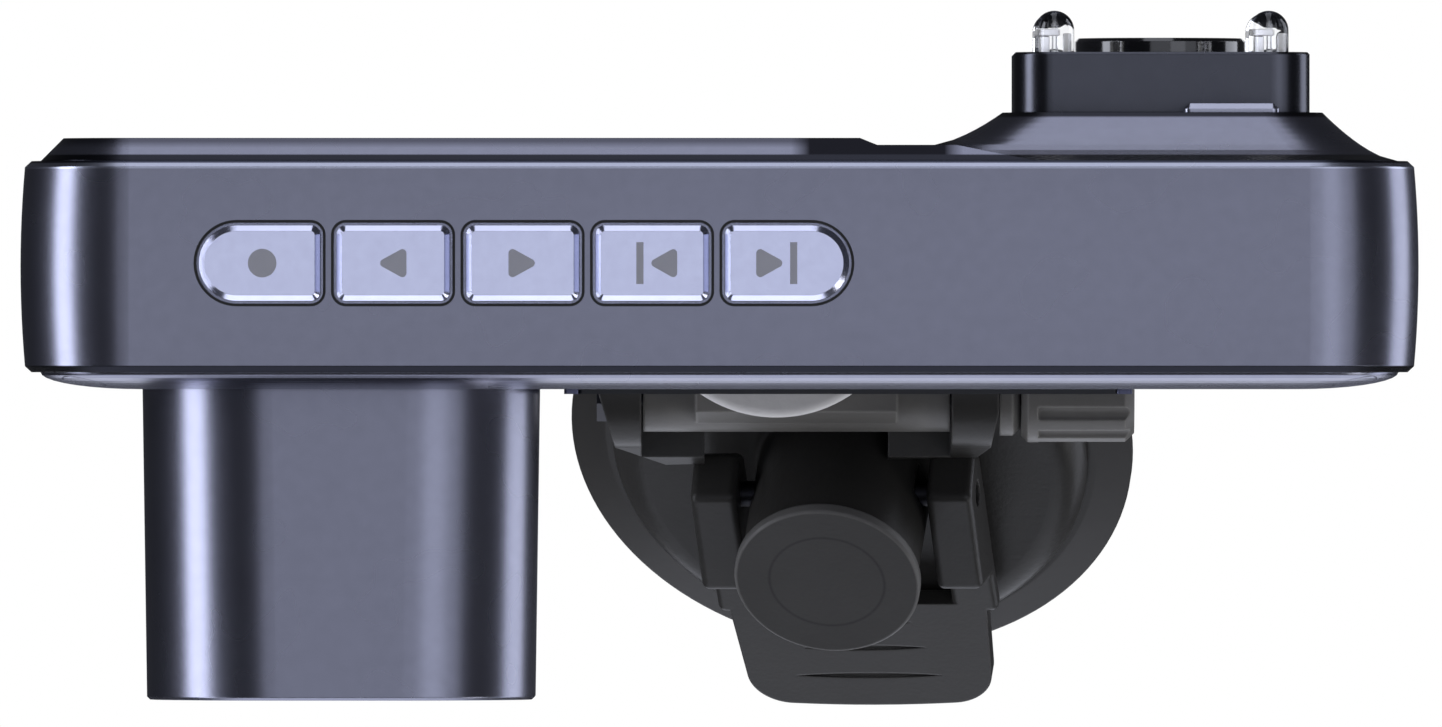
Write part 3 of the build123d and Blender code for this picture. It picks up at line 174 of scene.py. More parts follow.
# %% World
ROOM_STRENGTH = 0.035
world = bpy.data.worlds.new("studio")
bpy.context.scene.world = world
world.use_nodes = True
tree = world.node_tree
tree.nodes.clear()
out = tree.nodes.new("ShaderNodeOutputWorld")
mix = tree.nodes.new("ShaderNodeMixShader")
seen = tree.nodes.new("ShaderNodeBackground")
room = tree.nodes.new("ShaderNodeBackground")
rays = tree.nodes.new("ShaderNodeLightPath")
room.inputs["Color"].default_value = (*COOL, 1)
room.inputs["Strength"].default_value = ROOM_STRENGTH
seen.inputs["Color"].default_value = (1, 1, 1, 1)
seen.inputs["Strength"].default_value = 1.0
through = tree.nodes.new("ShaderNodeMath")
through.operation = "MAXIMUM"
tree.links.new(rays.outputs["Is Camera Ray"], through.inputs[0])
tree.links.new(rays.outputs["Is Transmission Ray"], through.inputs[1])
tree.links.new(through.outputs[0], mix.inputs["Fac"])
tree.links.new(room.outputs[0], mix.inputs[1])
tree.links.new(seen.outputs[0], mix.inputs[2])
tree.links.new(mix.outputs[0], out.inputs["Surface"])
bpy.context.scene.view_settings.view_transform = "Standard"
print("world nodes", len(tree.nodes))

# %% Floor
FLOOR_DROP = 6.0
FLOOR_HALF = 20.0
bm = bmesh.new()
bmesh.ops.create_grid(bm, x_segments=1, y_segments=1, size=FLOOR_HALF)
for vert in bm.verts:
    vert.co += Vector((centre.x, centre.y, centre.z - FLOOR_DROP))
floor_mesh = bpy.data.meshes.new("floor")
bm.to_mesh(floor_mesh)
bm.free()
floor = bpy.data.objects.new("floor", floor_mesh)
bpy.context.scene.collection.objects.link(floor)
floor.visible_glossy = False
floor.visible_diffuse = False
print("floor", FLOOR_DROP, "m below the case")

# %% [markdown]
# ## Small pieces of a node tree
# A material is a graph of nodes, and the same few turn up in each: noise, a range that is mapped onto
# another, and a mix of two colours. With a function for each, a finish reads like a recipe.

# %% Node helpers
NOISE_MIDDLE = (0.25, 0.75)


def shader(name):
    """An empty material with its Principled shader."""
    material = bpy.data.materials.new(name)
    material.use_nodes = True
    made = material.node_tree
    return material, made, made.nodes["Principled BSDF"]


def noise(made, scale, detail=2.0):
    """Noise in the piece's own coordinates; scale is in features per metre."""
    where = made.nodes.new("ShaderNodeTexCoord")
    grain = made.nodes.new("ShaderNodeTexNoise")
    grain.inputs["Scale"].default_value = scale
    grain.inputs["Detail"].default_value = detail
    made.links.new(where.outputs["Object"], grain.inputs["Vector"])
    return grain


def remap(made, source, from_low, from_high, to_low=0.0, to_high=1.0):
    """Map a range of a value onto another range, and hold it at the ends."""
    ramp = made.nodes.new("ShaderNodeMapRange")
    ramp.inputs["From Min"].default_value = from_low
    ramp.inputs["From Max"].default_value = from_high
    ramp.inputs["To Min"].default_value = to_low
    ramp.inputs["To Max"].default_value = to_high
    made.links.new(source, ramp.inputs["Value"])
    return ramp.outputs["Result"]


def spread(made, source, low, high):
    """Stretch a noise's middle half over a range of values."""
    return remap(made, source, *NOISE_MIDDLE, low, high)


def times(made, first, second):
    """Two masks multiplied."""
    both = made.nodes.new("ShaderNodeMath")
    both.operation = "MULTIPLY"
    made.links.new(first, both.inputs[0])
    made.links.new(second, both.inputs[1])
    return both.outputs[0]


def blend(made, mask, below, above):
    """Mix two colours by a mask; each is three numbers or another node's output."""
    mix = made.nodes.new("ShaderNodeMix")
    mix.data_type = "RGBA"
    made.links.new(mask, mix.inputs["Factor"])
    for name, colour in (("A", below), ("B", above)):
        if isinstance(colour, tuple):
            mix.inputs[name].default_value = (*colour, 1)
        else:
            made.links.new(colour, mix.inputs[name])
    return mix.outputs["Result"]


# %% [markdown]
# ## How a finish is built
# Every finish here is one Principled shader. A Bevel node rounds the light on hard edges, noise gives the
# moulding's grain through a Bump node, and two larger noises make the roughness and the colour vary a
# little, as handling does. Where the Bevel node bends the normal, an edge is near, and there the colour is
# lifted: partly wear along edges and partly a painted highlight, which is strong on the mount's rims.
# In narrow gaps, found by ambient occlusion, the colour sinks: that is painted shade.

# %% Finish builder
LOOK_SAMPLES = 4
# The lift along edges is partly wear and partly painted highlight.
WEAR_AND_HIGHLIGHT_BEND = (0.99, 0.8)
WEAR_AND_HIGHLIGHT_PALE = 0.02
# Painted shade: ambient occlusion darkens the colour in narrow gaps.
GAP_SHADE_REACH = 0.5 * MM
GAP_SHADE_OPEN = (0.12, 0.5)
GAP_SHADE_COLOUR = (0.004, 0.004, 0.005)
PATCH_SCALE = 160.0
PATCH_DETAIL = 1.0
TONE_SCALE = 900.0
TONE_SWING = 0.06
COAT_ROUGHNESS = 0.08
RIPPLE_SCALE = 1200.0
RIPPLE_DEPTH = 0.002 * MM
RIPPLE_STRENGTH = 0.3
HAZE_SCALE = 400.0


def surface(made, edge, grain, depth):
    """The rounded normal of the edges, and the same normal with the grain on it."""
    soft = made.nodes.new("ShaderNodeBevel")
    soft.samples = LOOK_SAMPLES
    soft.inputs["Radius"].default_value = edge * MM
    bump = made.nodes.new("ShaderNodeBump")
    bump.inputs["Strength"].default_value = 1.0
    bump.inputs["Distance"].default_value = depth * MM
    made.links.new(noise(made, grain).outputs["Fac"], bump.inputs["Height"])
    made.links.new(soft.outputs["Normal"], bump.inputs["Normal"])
    return soft.outputs["Normal"], bump.outputs["Normal"]


def wear_and_highlight_mask(made, rounded, wear_and_highlight):
    """A mask that rises to the edge lift, partly wear and partly painted highlight, where the rounded normal
    leaves the true one.
    """
    shape = made.nodes.new("ShaderNodeNewGeometry")
    near = made.nodes.new("ShaderNodeVectorMath")
    near.operation = "DOT_PRODUCT"
    made.links.new(rounded, near.inputs[0])
    made.links.new(shape.outputs["Normal"], near.inputs[1])
    return remap(made, near.outputs["Value"], *WEAR_AND_HIGHLIGHT_BEND, 0.0, wear_and_highlight)


def gap_shade_mask(made):
    """A mask for painted shade: 1 on open faces and 0 deep in narrow gaps."""
    gap_shade = made.nodes.new("ShaderNodeAmbientOcclusion")
    gap_shade.samples = LOOK_SAMPLES
    gap_shade.inputs["Distance"].default_value = GAP_SHADE_REACH
    return remap(made, gap_shade.outputs["AO"], *GAP_SHADE_OPEN)


def scaled(colour, factor, lift=0.0):
    """A colour made lighter or darker, and never above 1."""
    return tuple(min(c * factor + lift, 1) for c in colour)


def finish(
    name, colour, metallic, rough,
    grain=2500.0, depth=0.004, edge=0.2, wear_and_highlight=0.25, wear_and_highlight_lift=1.8, specular=0.5, patchy=0.1, coat=0.0,
):
    """A satin or moulded finish: colour, blurred mirror, grain, and lighter edges that are partly wear and
    partly painted highlight.
    """
    material, made, bsdf = shader(name)
    bsdf.inputs["Metallic"].default_value = metallic
    bsdf.inputs["Specular IOR Level"].default_value = specular
    bsdf.inputs["Coat Weight"].default_value = coat
    bsdf.inputs["Coat Roughness"].default_value = COAT_ROUGHNESS
    rounded, grained = surface(made, edge, grain, depth)
    made.links.new(grained, bsdf.inputs["Normal"])
    patches = noise(made, PATCH_SCALE, PATCH_DETAIL).outputs["Fac"]
    blurred = spread(made, patches, rough * (1 - patchy), rough * (1 + patchy))
    made.links.new(blurred, bsdf.inputs["Roughness"])
    tones = noise(made, TONE_SCALE).outputs["Fac"]
    plain = blend(made, tones, scaled(colour, 1 - TONE_SWING), scaled(colour, 1 + TONE_SWING))
    # The lifted edges are partly wear and partly painted highlight.
    worn_and_highlit = blend(made, wear_and_highlight_mask(made, rounded, wear_and_highlight), plain, scaled(colour, wear_and_highlight_lift, WEAR_AND_HIGHLIGHT_PALE))
    # Painted shade: the colour sinks in narrow gaps, found by ambient occlusion.
    shaded = blend(made, gap_shade_mask(made), GAP_SHADE_COLOUR, worn_and_highlit)
    made.links.new(shaded, bsdf.inputs["Base Color"])
    return material


def glass(name, colour, rough=0.02, ior=1.5):
    """Clear resin or lens glass, with faint ripples so that its reflections aren't perfect."""
    material, made, bsdf = shader(name)
    bsdf.inputs["Base Color"].default_value = (*colour, 1)
    bsdf.inputs["Transmission Weight"].default_value = 1.0
    bsdf.inputs["IOR"].default_value = ior
    bump = made.nodes.new("ShaderNodeBump")
    bump.inputs["Distance"].default_value = RIPPLE_DEPTH
    bump.inputs["Strength"].default_value = RIPPLE_STRENGTH
    made.links.new(noise(made, RIPPLE_SCALE).outputs["Fac"], bump.inputs["Height"])
    made.links.new(bump.outputs["Normal"], bsdf.inputs["Normal"])
    haze = noise(made, HAZE_SCALE).outputs["Fac"]
    made.links.new(spread(made, haze, rough, rough * 2), bsdf.inputs["Roughness"])
    return material


# %% [markdown]
# ## Colour by place
# Some parts of a moulding differ only by place: an edge that was cut bright, a band that lies in shadow.
# A mask made from the piece's own coordinates picks such a band out, and another colour is laid over the
# finish there. The masks fade over a short way, because no real edge of paint is perfectly sharp.

# %% Masks
def zone(made, axis, low, high, soft):
    """A mask that is 1 between two places along an axis of the piece and fades over soft, in metres."""
    where = made.nodes.new("ShaderNodeTexCoord")
    split = made.nodes.new("ShaderNodeSeparateXYZ")
    made.links.new(where.outputs["Object"], split.inputs[0])
    ends = []
    for place, start, stop in ((low, 0.0, 1.0), (high, 1.0, 0.0)):
        ends.append(remap(made, split.outputs[axis], place - soft / 2, place + soft / 2, start, stop))
    return times(made, *ends)


def over(material, mask, colour):
    """Lay a colour over a finish's own colour where a mask is 1."""
    made = material.node_tree
    paint = made.nodes["Principled BSDF"].inputs["Base Color"]
    below = paint.links[0].from_socket
    made.links.new(blend(made, mask, below, colour), paint)


# %% [markdown]
# ## The finishes
# The case wears slate metallic paint with a bluish cast, the keys are much brighter metal, and the interior
# housing is darker. The mount is plain black nylon with a fine spark-eroded grain, and the turntable is
# grey nylon from a coarser mould. A recipe is a colour and the few numbers in which it differs from the
# plain finish, and what several recipes share is written once.

# %% Make the finishes
CASE_COLOUR = (0.248, 0.254, 0.318)
MOUNT_COLOUR = (0.034, 0.0325, 0.030)
# Painted light: the tilt head, knob and washer wear a lighter copy of the mount nylon, standing for the light
# on them.
HEAD_LIT_COLOUR = (0.13, 0.125, 0.115)
PAINT = {"metallic": 1.0, "rough": 0.27, "depth": 0.0015, "edge": 0.12, "wear_and_highlight": 0.5, "patchy": 0.03}
METAL = {"metallic": 1.0, "depth": 0.001, "edge": 0.05}
NYLON = {"metallic": 0.0, "grain": 2600, "depth": 0.018, "edge": 0.25}
PRINT = {"metallic": 0.0, "depth": 0.001, "edge": 0.02, "wear_and_highlight": 0.0}
RECIPES = {
    "case_paint": (CASE_COLOUR, PAINT),
    "shell_paint": (CASE_COLOUR, PAINT),
    "bezel_paint": (CASE_COLOUR, PAINT),
    "housing_paint": ((0.085, 0.088, 0.105), {**PAINT, "rough": 0.26, "edge": 0.15, "patchy": 0.1}),
    "key_metal": ((0.72, 0.745, 0.96), {**METAL, "rough": 0.20, "wear_and_highlight": 0.1}),
    # The rear key is a darker copy of the key metal, which is painted shade, and its strong edge lift is a
    # painted highlight.
    "rear_key_shade_and_highlight": ((0.42, 0.43, 0.52), {**METAL, "rough": 0.24, "wear_and_highlight": 0.6}),
    "trim_silver": ((0.70, 0.73, 0.85), {**METAL, "rough": 0.25}),
    "end_trim": ((0.10, 0.105, 0.16), {**METAL, "rough": 0.25}),
    "steel": ((0.55, 0.55, 0.57), {**METAL, "rough": 0.28}),
    "brass": ((0.62, 0.42, 0.16), {**METAL, "rough": 0.3}),
    "screw_black": ((0.03, 0.03, 0.035), {**METAL, "rough": 0.4, "depth": 0.002}),
    "battery_wrap": ((0.32, 0.33, 0.36), {"metallic": 1.0, "rough": 0.35, "edge": 0.1}),
    "dark_trim": (
        (0.012, 0.013, 0.017),
        {"metallic": 0.0, "rough": 0.42, "grain": 3200, "depth": 0.006, "edge": 0.1},
    ),
    "gloss_black": (
        (0.006, 0.006, 0.008),
        {"metallic": 0.0, "rough": 0.12, "depth": 0.0006, "edge": 0.1, "coat": 1.0},
    ),
    "screen_glass": (
        (0.004, 0.004, 0.006),
        {"metallic": 0.0, "rough": 0.05, "depth": 0.0002, "edge": 0.1, "coat": 1.0},
    ),
    "lcd": ((0.01, 0.01, 0.016), {"metallic": 0.0, "rough": 0.3, "edge": 0.05}),
    "board_green": ((0.01, 0.07, 0.03), {"metallic": 0.0, "rough": 0.35, "depth": 0.003, "edge": 0.05}),
    "chip_black": ((0.012, 0.012, 0.013), {"metallic": 0.0, "rough": 0.5, "edge": 0.05}),
    "speaker_cone": ((0.02, 0.02, 0.02), {"metallic": 0.0, "rough": 0.7, "depth": 0.01, "edge": 0.1}),
    "cable_film": ((0.35, 0.13, 0.02), {"metallic": 0.0, "rough": 0.25, "edge": 0.02, "coat": 0.5}),
    # On the mount nylon and the cap, the strong edge lift is a painted highlight along the rims.
    "mount_plastic": (MOUNT_COLOUR, {**NYLON, "rough": 0.34, "wear_and_highlight": 0.8, "wear_and_highlight_lift": 3.0, "specular": 0.2}),
    "cap_plastic": (MOUNT_COLOUR, {**NYLON, "rough": 0.38, "wear_and_highlight": 1.0, "wear_and_highlight_lift": 4.5, "specular": 0.2}),
    "head_lit_plastic": (
        HEAD_LIT_COLOUR,
        {**NYLON, "rough": 0.40, "edge": 0.3, "wear_and_highlight": 0.8, "wear_and_highlight_lift": 2.5, "specular": 0.3},
    ),
    "turntable_plastic": (
        (0.75, 0.73, 0.70),
        {"metallic": 0.0, "rough": 0.6, "grain": 1800, "depth": 0.03, "edge": 0.3},
    ),
    "pad_rubber": (
        (0.033, 0.031, 0.028),
        {**NYLON, "rough": 0.36, "grain": 1500, "depth": 0.008, "wear_and_highlight": 0.4, "specular": 0.25},
    ),
    "key_mark": ((0.40, 0.40, 0.44), {**PRINT, "rough": 0.45}),
    # Painted shade: the black of the rings laid in the key gaps.
    "shade_ring_black": ((0.004, 0.004, 0.005), {**PRINT, "rough": 0.5}),
}
finishes = {name: finish(name, colour, **recipe) for name, (colour, recipe) in RECIPES.items()}
finishes["lens_glass"] = glass("lens_glass", (0.75, 0.80, 1.0), rough=0.01, ior=1.6)
finishes["lamp_clear"] = glass("lamp_clear", (0.97, 0.98, 1.0), rough=0.01, ior=1.5)
print("finishes", len(finishes))

# %% [markdown]
# ## Bands of painted light and shade on the shell and the rear cover
# The shell's edge beside the screen gets a painted highlight and the gap there painted shade, and its edge
# beside the road painted shade. The rear cover gets painted shade in the seam at its foot, on its shoulder,
# in the dip between the screen and the interior camera, and on the rim of the mound. They are measured from
# the shell's two faces and from the middle of the case.

# %% Bands on the shell
rear_plane = case_low.y
front_plane = case_high.y
# Each band: the face it starts from, its two ends in millimetres from there, how soft it is, its colour.
# A painted highlight on the edge by the screen, painted shade in the gap by the screen and on the edge by the
# road.
SHELL_BANDS = {
    "painted edge highlight": (rear_plane, 0.17, 0.58, 0.06, (0.44, 0.46, 0.56)),
    "painted gap shade": (rear_plane, -1.0, 0.15, 0.06, (0.05, 0.055, 0.08)),
    "painted edge shade": (front_plane, -0.48, 1.0, 0.05, (0.018, 0.019, 0.026)),
}
shell = finishes["shell_paint"]
for face, start, stop, soft, colour in SHELL_BANDS.values():
    band = zone(shell.node_tree, "Y", face + start * MM, face + stop * MM, soft * MM)
    over(shell, band, colour)
print("shell from", round(rear_plane / MM, 2), "to", round(front_plane / MM, 2), "mm")

# %% Bands on the rear cover
# Painted shade: the seam, the shoulder, the dip and the mound's rim are darkened where shade and dark
# reflections fall.
SEAM_SHADE_COLOUR = (0.03, 0.031, 0.04)
SHOULDER_SHADE_COLOUR = (0.10, 0.102, 0.13)
DIP_SHADE_COLOUR = (0.012, 0.012, 0.016)
PAST_THE_SIDE = -100.0
# Each zone: its axis, the place it starts from, its two ends in millimetres from there, how soft it is.
COVER_ZONES = {
    "seam": ("Y", rear_plane, -0.46, 1.0, 0.1),
    "shoulder": ("Y", rear_plane, -1.9, -1.2, 0.5),
    "screen part": ("X", case.x, PAST_THE_SIDE, 8.0, 2.0),
    "dip across": ("X", case.x, 6.0, 17.4, 1.4),
    "dip deep": ("Y", rear_plane, -1.8, 1.0, 0.2),
    "mound rim": ("Y", rear_plane, -3.8, -3.3, 0.15),
}
bezel = finishes["bezel_paint"]
bezel_tree = bezel.node_tree
masks = {}
for name, (axis, place, start, stop, soft) in COVER_ZONES.items():
    masks[name] = zone(bezel_tree, axis, place + start * MM, place + stop * MM, soft * MM)
over(bezel, times(bezel_tree, masks["shoulder"], masks["screen part"]), SHOULDER_SHADE_COLOUR)
over(bezel, times(bezel_tree, masks["dip across"], masks["dip deep"]), DIP_SHADE_COLOUR)
over(bezel, masks["seam"], SEAM_SHADE_COLOUR)
over(bezel, masks["mound rim"], SEAM_SHADE_COLOUR)
print("zones on the rear cover", len(masks))

# %% [markdown]
# ## Painted shade and highlight on the post's cap
# The cap shows a faint dark ring, painted shade where a turned groove would lie, and a light rim, which is a
# painted highlight. Both are circles, so the mask is the distance from the cap's centre, as a share of its
# radius: a colour ramp makes the narrow ring, and a steep rise the rim.

# %% Painted groove shade and rim highlight
# Painted shade for the ring and a painted highlight for the rim.
GROOVE_SHADE_COLOUR = (0.016, 0.015, 0.014)
GROOVE_SHADE_STOPS = ((0.60, 0.0), (0.625, 1.0), (0.65, 0.0))
RIM_HIGHLIGHT_COLOUR = (0.13, 0.127, 0.12)
RIM_HIGHLIGHT_RISE = (0.965, 0.985)
cap_low, cap_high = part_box("post_cap")
cap_radius = (cap_high.x - cap_low.x) / 2
cap_finish = finishes["cap_plastic"]
cap_tree = cap_finish.node_tree
where = cap_tree.nodes.new("ShaderNodeTexCoord")
apart = cap_tree.nodes.new("ShaderNodeVectorMath")
apart.operation = "DISTANCE"
apart.inputs[1].default_value = middle("post_cap")
cap_tree.links.new(where.outputs["Object"], apart.inputs[0])
share = remap(cap_tree, apart.outputs["Value"], 0.0, cap_radius)
groove_shade = cap_tree.nodes.new("ShaderNodeValToRGB")
groove_shade.color_ramp.elements[0].position = 0.0
groove_shade.color_ramp.elements[0].color = (0, 0, 0, 1)
for spot, value in GROOVE_SHADE_STOPS:
    stop = groove_shade.color_ramp.elements.new(spot)
    stop.color = (value, value, value, 1)
groove_shade.color_ramp.elements[-1].color = (0, 0, 0, 1)
cap_tree.links.new(share, groove_shade.inputs["Fac"])
over(cap_finish, groove_shade.outputs["Color"], GROOVE_SHADE_COLOUR)
over(cap_finish, remap(cap_tree, share, *RIM_HIGHLIGHT_RISE), RIM_HIGHLIGHT_COLOUR)
print("cap radius", round(cap_radius / MM, 2), "mm")

# %% [markdown]
# ## Which piece wears which finish
# The record names a material for every piece. A few pieces that share a material in the record get a
# finish of their own here, because the light shows them differently or a band lies on only one of them.

# %% Dress the pieces
OWN_FINISH = {
    "interior_housing": "housing_paint",
    "grille_end_blocks": "end_trim",
    "case_screws": "case_paint",
    "middle_shell": "shell_paint",
    "rear_cover": "bezel_paint",
    "post_cap": "cap_plastic",
    "hinge_bolt": "screw_black",
    "lever_pin": "screw_black",
    "tilt_head": "head_lit_plastic",
    "clamp_knob": "head_lit_plastic",
    "clamp_washer": "head_lit_plastic",
    "rear_key": "rear_key_shade_and_highlight",
}
worn_by = {row["node"]: row["material_slot"] for row in frame["record"]["subparts"]}
worn_by.update(OWN_FINISH)
for node, thing in nodes.items():
    thing.data.materials.clear()
    thing.data.materials.append(finishes[worn_by[node]])
print("dressed", len(nodes), "pieces,", len(OWN_FINISH), "with a finish of their own")

# %% Floor finish
FLOOR_GLOW = 0.75
floor_paint = finish("floor_paint", (0.8, 0.8, 0.8), 0.0, 0.6, grain=60, depth=0.1, edge=0.1)
floor_shader = floor_paint.node_tree.nodes["Principled BSDF"]
floor_shader.inputs["Emission Color"].default_value = (1, 1, 1, 1)
floor_shader.inputs["Emission Strength"].default_value = FLOOR_GLOW
floor.data.materials.append(floor_paint)
print("floor glow", FLOOR_GLOW)

# %% [markdown]
# ## Marks on the keys
# The marks are thin prints on the key faces. Made of mesh, they keep their edges sharp at any distance,
# which a texture would not. A rounded triangle, a dot and a bar are enough for all five.

# %% Mark outlines
MARK_LIFT = 0.015 * MM
MARK_SINK = 0.1 * MM


def dot(x, radius, count=48):
    """Points of a circle, in millimetres from the middle of a key."""
    turns = [2 * math.pi * i / count for i in range(count)]
    return [(x + radius * math.cos(turn), radius * math.sin(turn)) for turn in turns]


def bar(x, width, height):
    """Points of an upright bar."""
    left, right, top = x - width / 2, x + width / 2, height / 2
    return [(left, -top), (right, -top), (right, top), (left, top)]


def triangle(x, way, width, height, corner=0.3, steps=6):
    """Points of a triangle with rounded corners that points along +x or -x."""
    tip = Vector((x + way * width / 2, 0))
    low = Vector((x - way * width / 2, -height / 2))
    high = Vector((x - way * width / 2, height / 2))
    corners = [tip, high, low]
    points = []
    for i, here in enumerate(corners):
        before = (corners[i - 1] - here).normalized()
        after = (corners[(i + 1) % 3] - here).normalized()
        half = before.angle(after) / 2
        hub = here + (before + after).normalized() * corner / math.sin(half)
        start = here + before * corner / math.tan(half) - hub
        end = here + after * corner / math.tan(half) - hub
        for step in range(steps + 1):
            spoke = start.lerp(end, step / steps).normalized() * corner
            points.append(tuple(hub + spoke))
    return points


ARROW_HEIGHT = 2.5
BAR_WIDTH = 0.53
BAR_HEIGHT = 3.1
MARKS = {
    "record_key": [dot(0.2, 1.06)],
    "left_key": [triangle(-0.14, -1, 2.28, ARROW_HEIGHT)],
    "right_key": [triangle(0.1, 1, 2.28, ARROW_HEIGHT)],
    "previous_key": [bar(-0.9, BAR_WIDTH, BAR_HEIGHT), triangle(0.75, -1, 2.23, ARROW_HEIGHT)],
    "next_key": [triangle(-1.15, 1, 2.26, ARROW_HEIGHT), bar(0.5, BAR_WIDTH, BAR_HEIGHT)],
}
print("outlines", sum(len(outlines) for outlines in MARKS.values()))

# %% Cut the marks
for key, outlines in MARKS.items():
    low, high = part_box(key)
    face_x = (low.x + high.x) / 2
    face_y = (low.y + high.y) / 2
    bm = bmesh.new()
    for outline in outlines:
        rings = []
        for z in (low.z - MARK_LIFT, low.z + MARK_SINK):
            rings.append([bm.verts.new((face_x + x * MM, face_y + y * MM, z)) for x, y in outline])
        front, back = rings
        bm.faces.new(front)
        bm.faces.new(back)
        join_rings(bm, front, back)
    mark = make_object(key + "_mark", bm, key + "_cap")
    mark.data.materials.append(finishes["key_mark"])
print("marks", len(MARKS))

# %% [markdown]
# ## The dark line round each key
# A flat black ring laid in the gap between each key and the case is painted shade: it draws the dark line
# that sets the keys off.
# off. It is a flat ring: four rounded outlines with the same number of points, joined by strips of faces.
# The end keys are round at their outer ends, so their corners there are as large as half the key.

# %% Shade ring outline
KEY_FLANGE = 0.5 * MM
KEY_CORNER = 0.7 * MM
SHADE_RING_IN = 0.2 * MM
SHADE_RING_OUT = 0.4 * MM
SHADE_RING_PROUD = 0.01 * MM
SHADE_RING_DEPTH = 0.06 * MM


def key_ring(low, high, grow, left_corner, right_corner, steps=12):
    """Points round a key's box, grown outwards, with its own corner at each end."""
    points = []
    for sx, sy, start in ((1, 1, 0), (-1, 1, 90), (-1, -1, 180), (1, -1, 270)):
        corner = (right_corner if sx > 0 else left_corner) + grow
        hub_x = (high.x + grow - corner) if sx > 0 else (low.x - grow + corner)
        hub_y = (high.y + grow - corner) if sy > 0 else (low.y - grow + corner)
        for step in range(steps + 1):
            turn = math.radians(start + 90 * step / steps)
            points.append((hub_x + corner * math.cos(turn), hub_y + corner * math.sin(turn)))
    return points


print("shade_ring", round((SHADE_RING_OUT - SHADE_RING_IN) / MM, 2), "mm wide")

# %% Make the shade rings
shade_ring_top = case_low.z + SHADE_RING_DEPTH
shade_ring_face = case_low.z - SHADE_RING_PROUD
SECTION = [
    (SHADE_RING_IN, shade_ring_top),
    (SHADE_RING_IN, shade_ring_face),
    (SHADE_RING_OUT, shade_ring_face),
    (SHADE_RING_OUT, shade_ring_top),
]
for key in MARKS:
    low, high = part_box(key)
    low = Vector((low.x + KEY_FLANGE, low.y + KEY_FLANGE, low.z))
    high = Vector((high.x - KEY_FLANGE, high.y - KEY_FLANGE, high.z))
    half_key = (high.y - low.y) / 2
    left_corner = half_key if key == "record_key" else KEY_CORNER
    right_corner = half_key if key == "next_key" else KEY_CORNER
    bm = bmesh.new()
    loops = []
    for grow, z in SECTION:
        outline = key_ring(low, high, grow, left_corner, right_corner)
        loops.append([bm.verts.new((x, y, z)) for x, y in outline])
    loops.append(loops[0])
    for first, second in zip(loops, loops[1:]):
        join_rings(bm, first, second)
    # The ring is painted shade in the key's gap.
    shade_ring = make_object(key + "_shade_ring", bm, "camera")
    shade_ring.data.materials.append(finishes["shade_ring_black"])
print("shade_rings", len(MARKS))

# %% [markdown]
# ## Clear lamps
# A 3 mm lamp is a bullet of clear resin with two steel legs inside it: the taller one ends in a cup that
# holds the chip, and the other is an anvil beside it. Turning the outline round its axis makes the
# bullet, and the legs are small bevelled prisms, so that the lens effect of the resin does the rest.

# %% Lamp parts
LAMP_RADIUS = 1.48
LAMP_ROUND = 40


def lathe(name, outline, foot, body, material):
    """Turn (radius, reach) points round an axis that points to -Y."""
    bm = bmesh.new()
    rings = []
    for radius, reach in outline:
        if radius < 1e-6:
            rings.append([bm.verts.new((foot.x, foot.y - reach * MM, foot.z))])
            continue
        ring = []
        for i in range(LAMP_ROUND):
            turn = 2 * math.pi * i / LAMP_ROUND
            x = foot.x + radius * MM * math.cos(turn)
            z = foot.z + radius * MM * math.sin(turn)
            ring.append(bm.verts.new((x, foot.y - reach * MM, z)))
        rings.append(ring)
    for first, second in zip(rings, rings[1:]):
        for i in range(LAMP_ROUND):
            near = [first[i % len(first)], first[(i + 1) % len(first)]]
            far = [second[(i + 1) % len(second)], second[i % len(second)]]
            bm.faces.new(list(dict.fromkeys(near + far)))
    piece = make_object(name, bm, body)
    piece.data.materials.append(material)
    return smooth(piece)


def prism(bm, middle_x, x_from, x_to, y_from, y_to, middle_z, half_z):
    """A small box in a bmesh; x and half_z are in millimetres from the lamp's middle, y is in metres."""
    made = bmesh.ops.create_cube(bm, size=1.0)
    for vert in made["verts"]:
        vert.co.x = middle_x + (x_to if vert.co.x > 0 else x_from) * MM
        vert.co.y = y_to if vert.co.y > 0 else y_from
        vert.co.z = middle_z + (half_z if vert.co.z > 0 else -half_z) * MM


print("lamp", 2 * LAMP_RADIUS, "mm across")

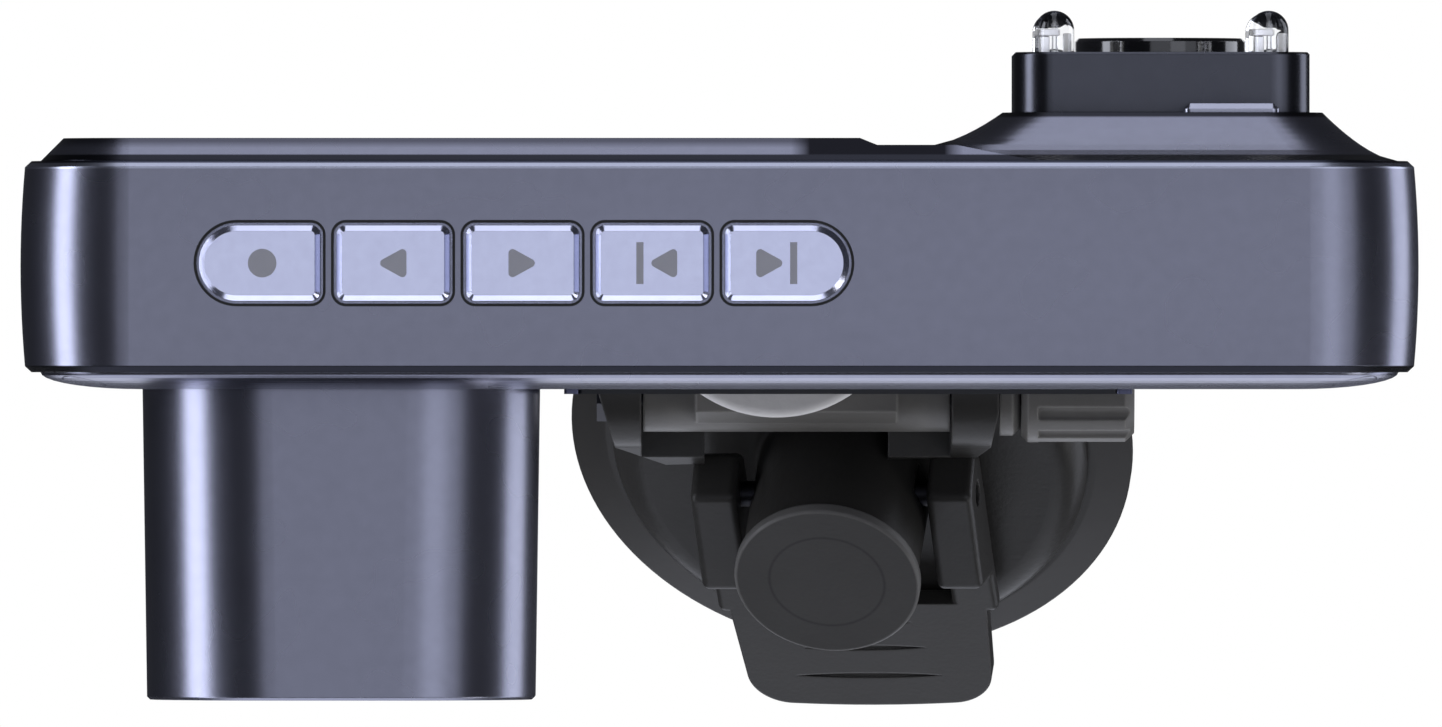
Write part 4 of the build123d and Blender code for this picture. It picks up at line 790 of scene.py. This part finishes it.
# %% Lamp places and outline
LAMP_INSET = 1.5
DOME_STEPS = 10
lamp_low, lamp_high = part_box("infrared_lamps")
lamp_back = lamp_high.y
lamp_reach = (lamp_high.y - lamp_low.y) / MM
lamp_spots = []
for lamp_x in (lamp_low.x + LAMP_INSET * MM, lamp_high.x - LAMP_INSET * MM):
    for lamp_z in (lamp_low.z + LAMP_INSET * MM, lamp_high.z - LAMP_INSET * MM):
        lamp_spots.append((lamp_x, lamp_z))
bullet = [(0, 0), (LAMP_RADIUS, 0)]
for step in range(DOME_STEPS):
    turn = math.radians(90 * step / DOME_STEPS)
    bullet.append((LAMP_RADIUS * math.cos(turn), lamp_reach - LAMP_RADIUS + LAMP_RADIUS * math.sin(turn)))
bullet.append((0, lamp_reach))
print("lamp length", round(lamp_reach, 2), "mm")

# %% Place four lamps
CUP_BELOW_TIP = 1.9
CUP_LEG = (-0.75, -0.25)
CUP = (-0.95, 0.25)
CUP_HEIGHT = 0.5
ANVIL = (0.45, 0.85)
ANVIL_RISE = 0.2
LEG_HALF = 0.22
CUP_HALF = 0.45
LEG_EDGE = 0.05
first_lamp = None
for number, (lamp_x, lamp_z) in enumerate(lamp_spots, 1):
    foot = Vector((lamp_x, lamp_back, lamp_z))
    resin = lathe(f"lamp_resin_{number}", bullet, foot, "camera", finishes["lamp_clear"])
    first_lamp = first_lamp or resin
    bm = bmesh.new()
    cup_y = lamp_back - (lamp_reach - CUP_BELOW_TIP) * MM
    prism(bm, lamp_x, *CUP_LEG, cup_y, lamp_back, lamp_z, LEG_HALF)
    prism(bm, lamp_x, *CUP, cup_y - CUP_HEIGHT * MM, cup_y, lamp_z, CUP_HALF)
    prism(bm, lamp_x, *ANVIL, cup_y - ANVIL_RISE * MM, lamp_back, lamp_z, LEG_HALF)
    bmesh.ops.bevel(bm, geom=bm.edges[:], offset=LEG_EDGE * MM, segments=2, affect="EDGES")
    legs = make_object(f"lamp_legs_{number}", bm, "camera")
    legs.data.materials.append(finishes["steel"])
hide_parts("infrared_lamps")
print("lamps", len(lamp_spots))
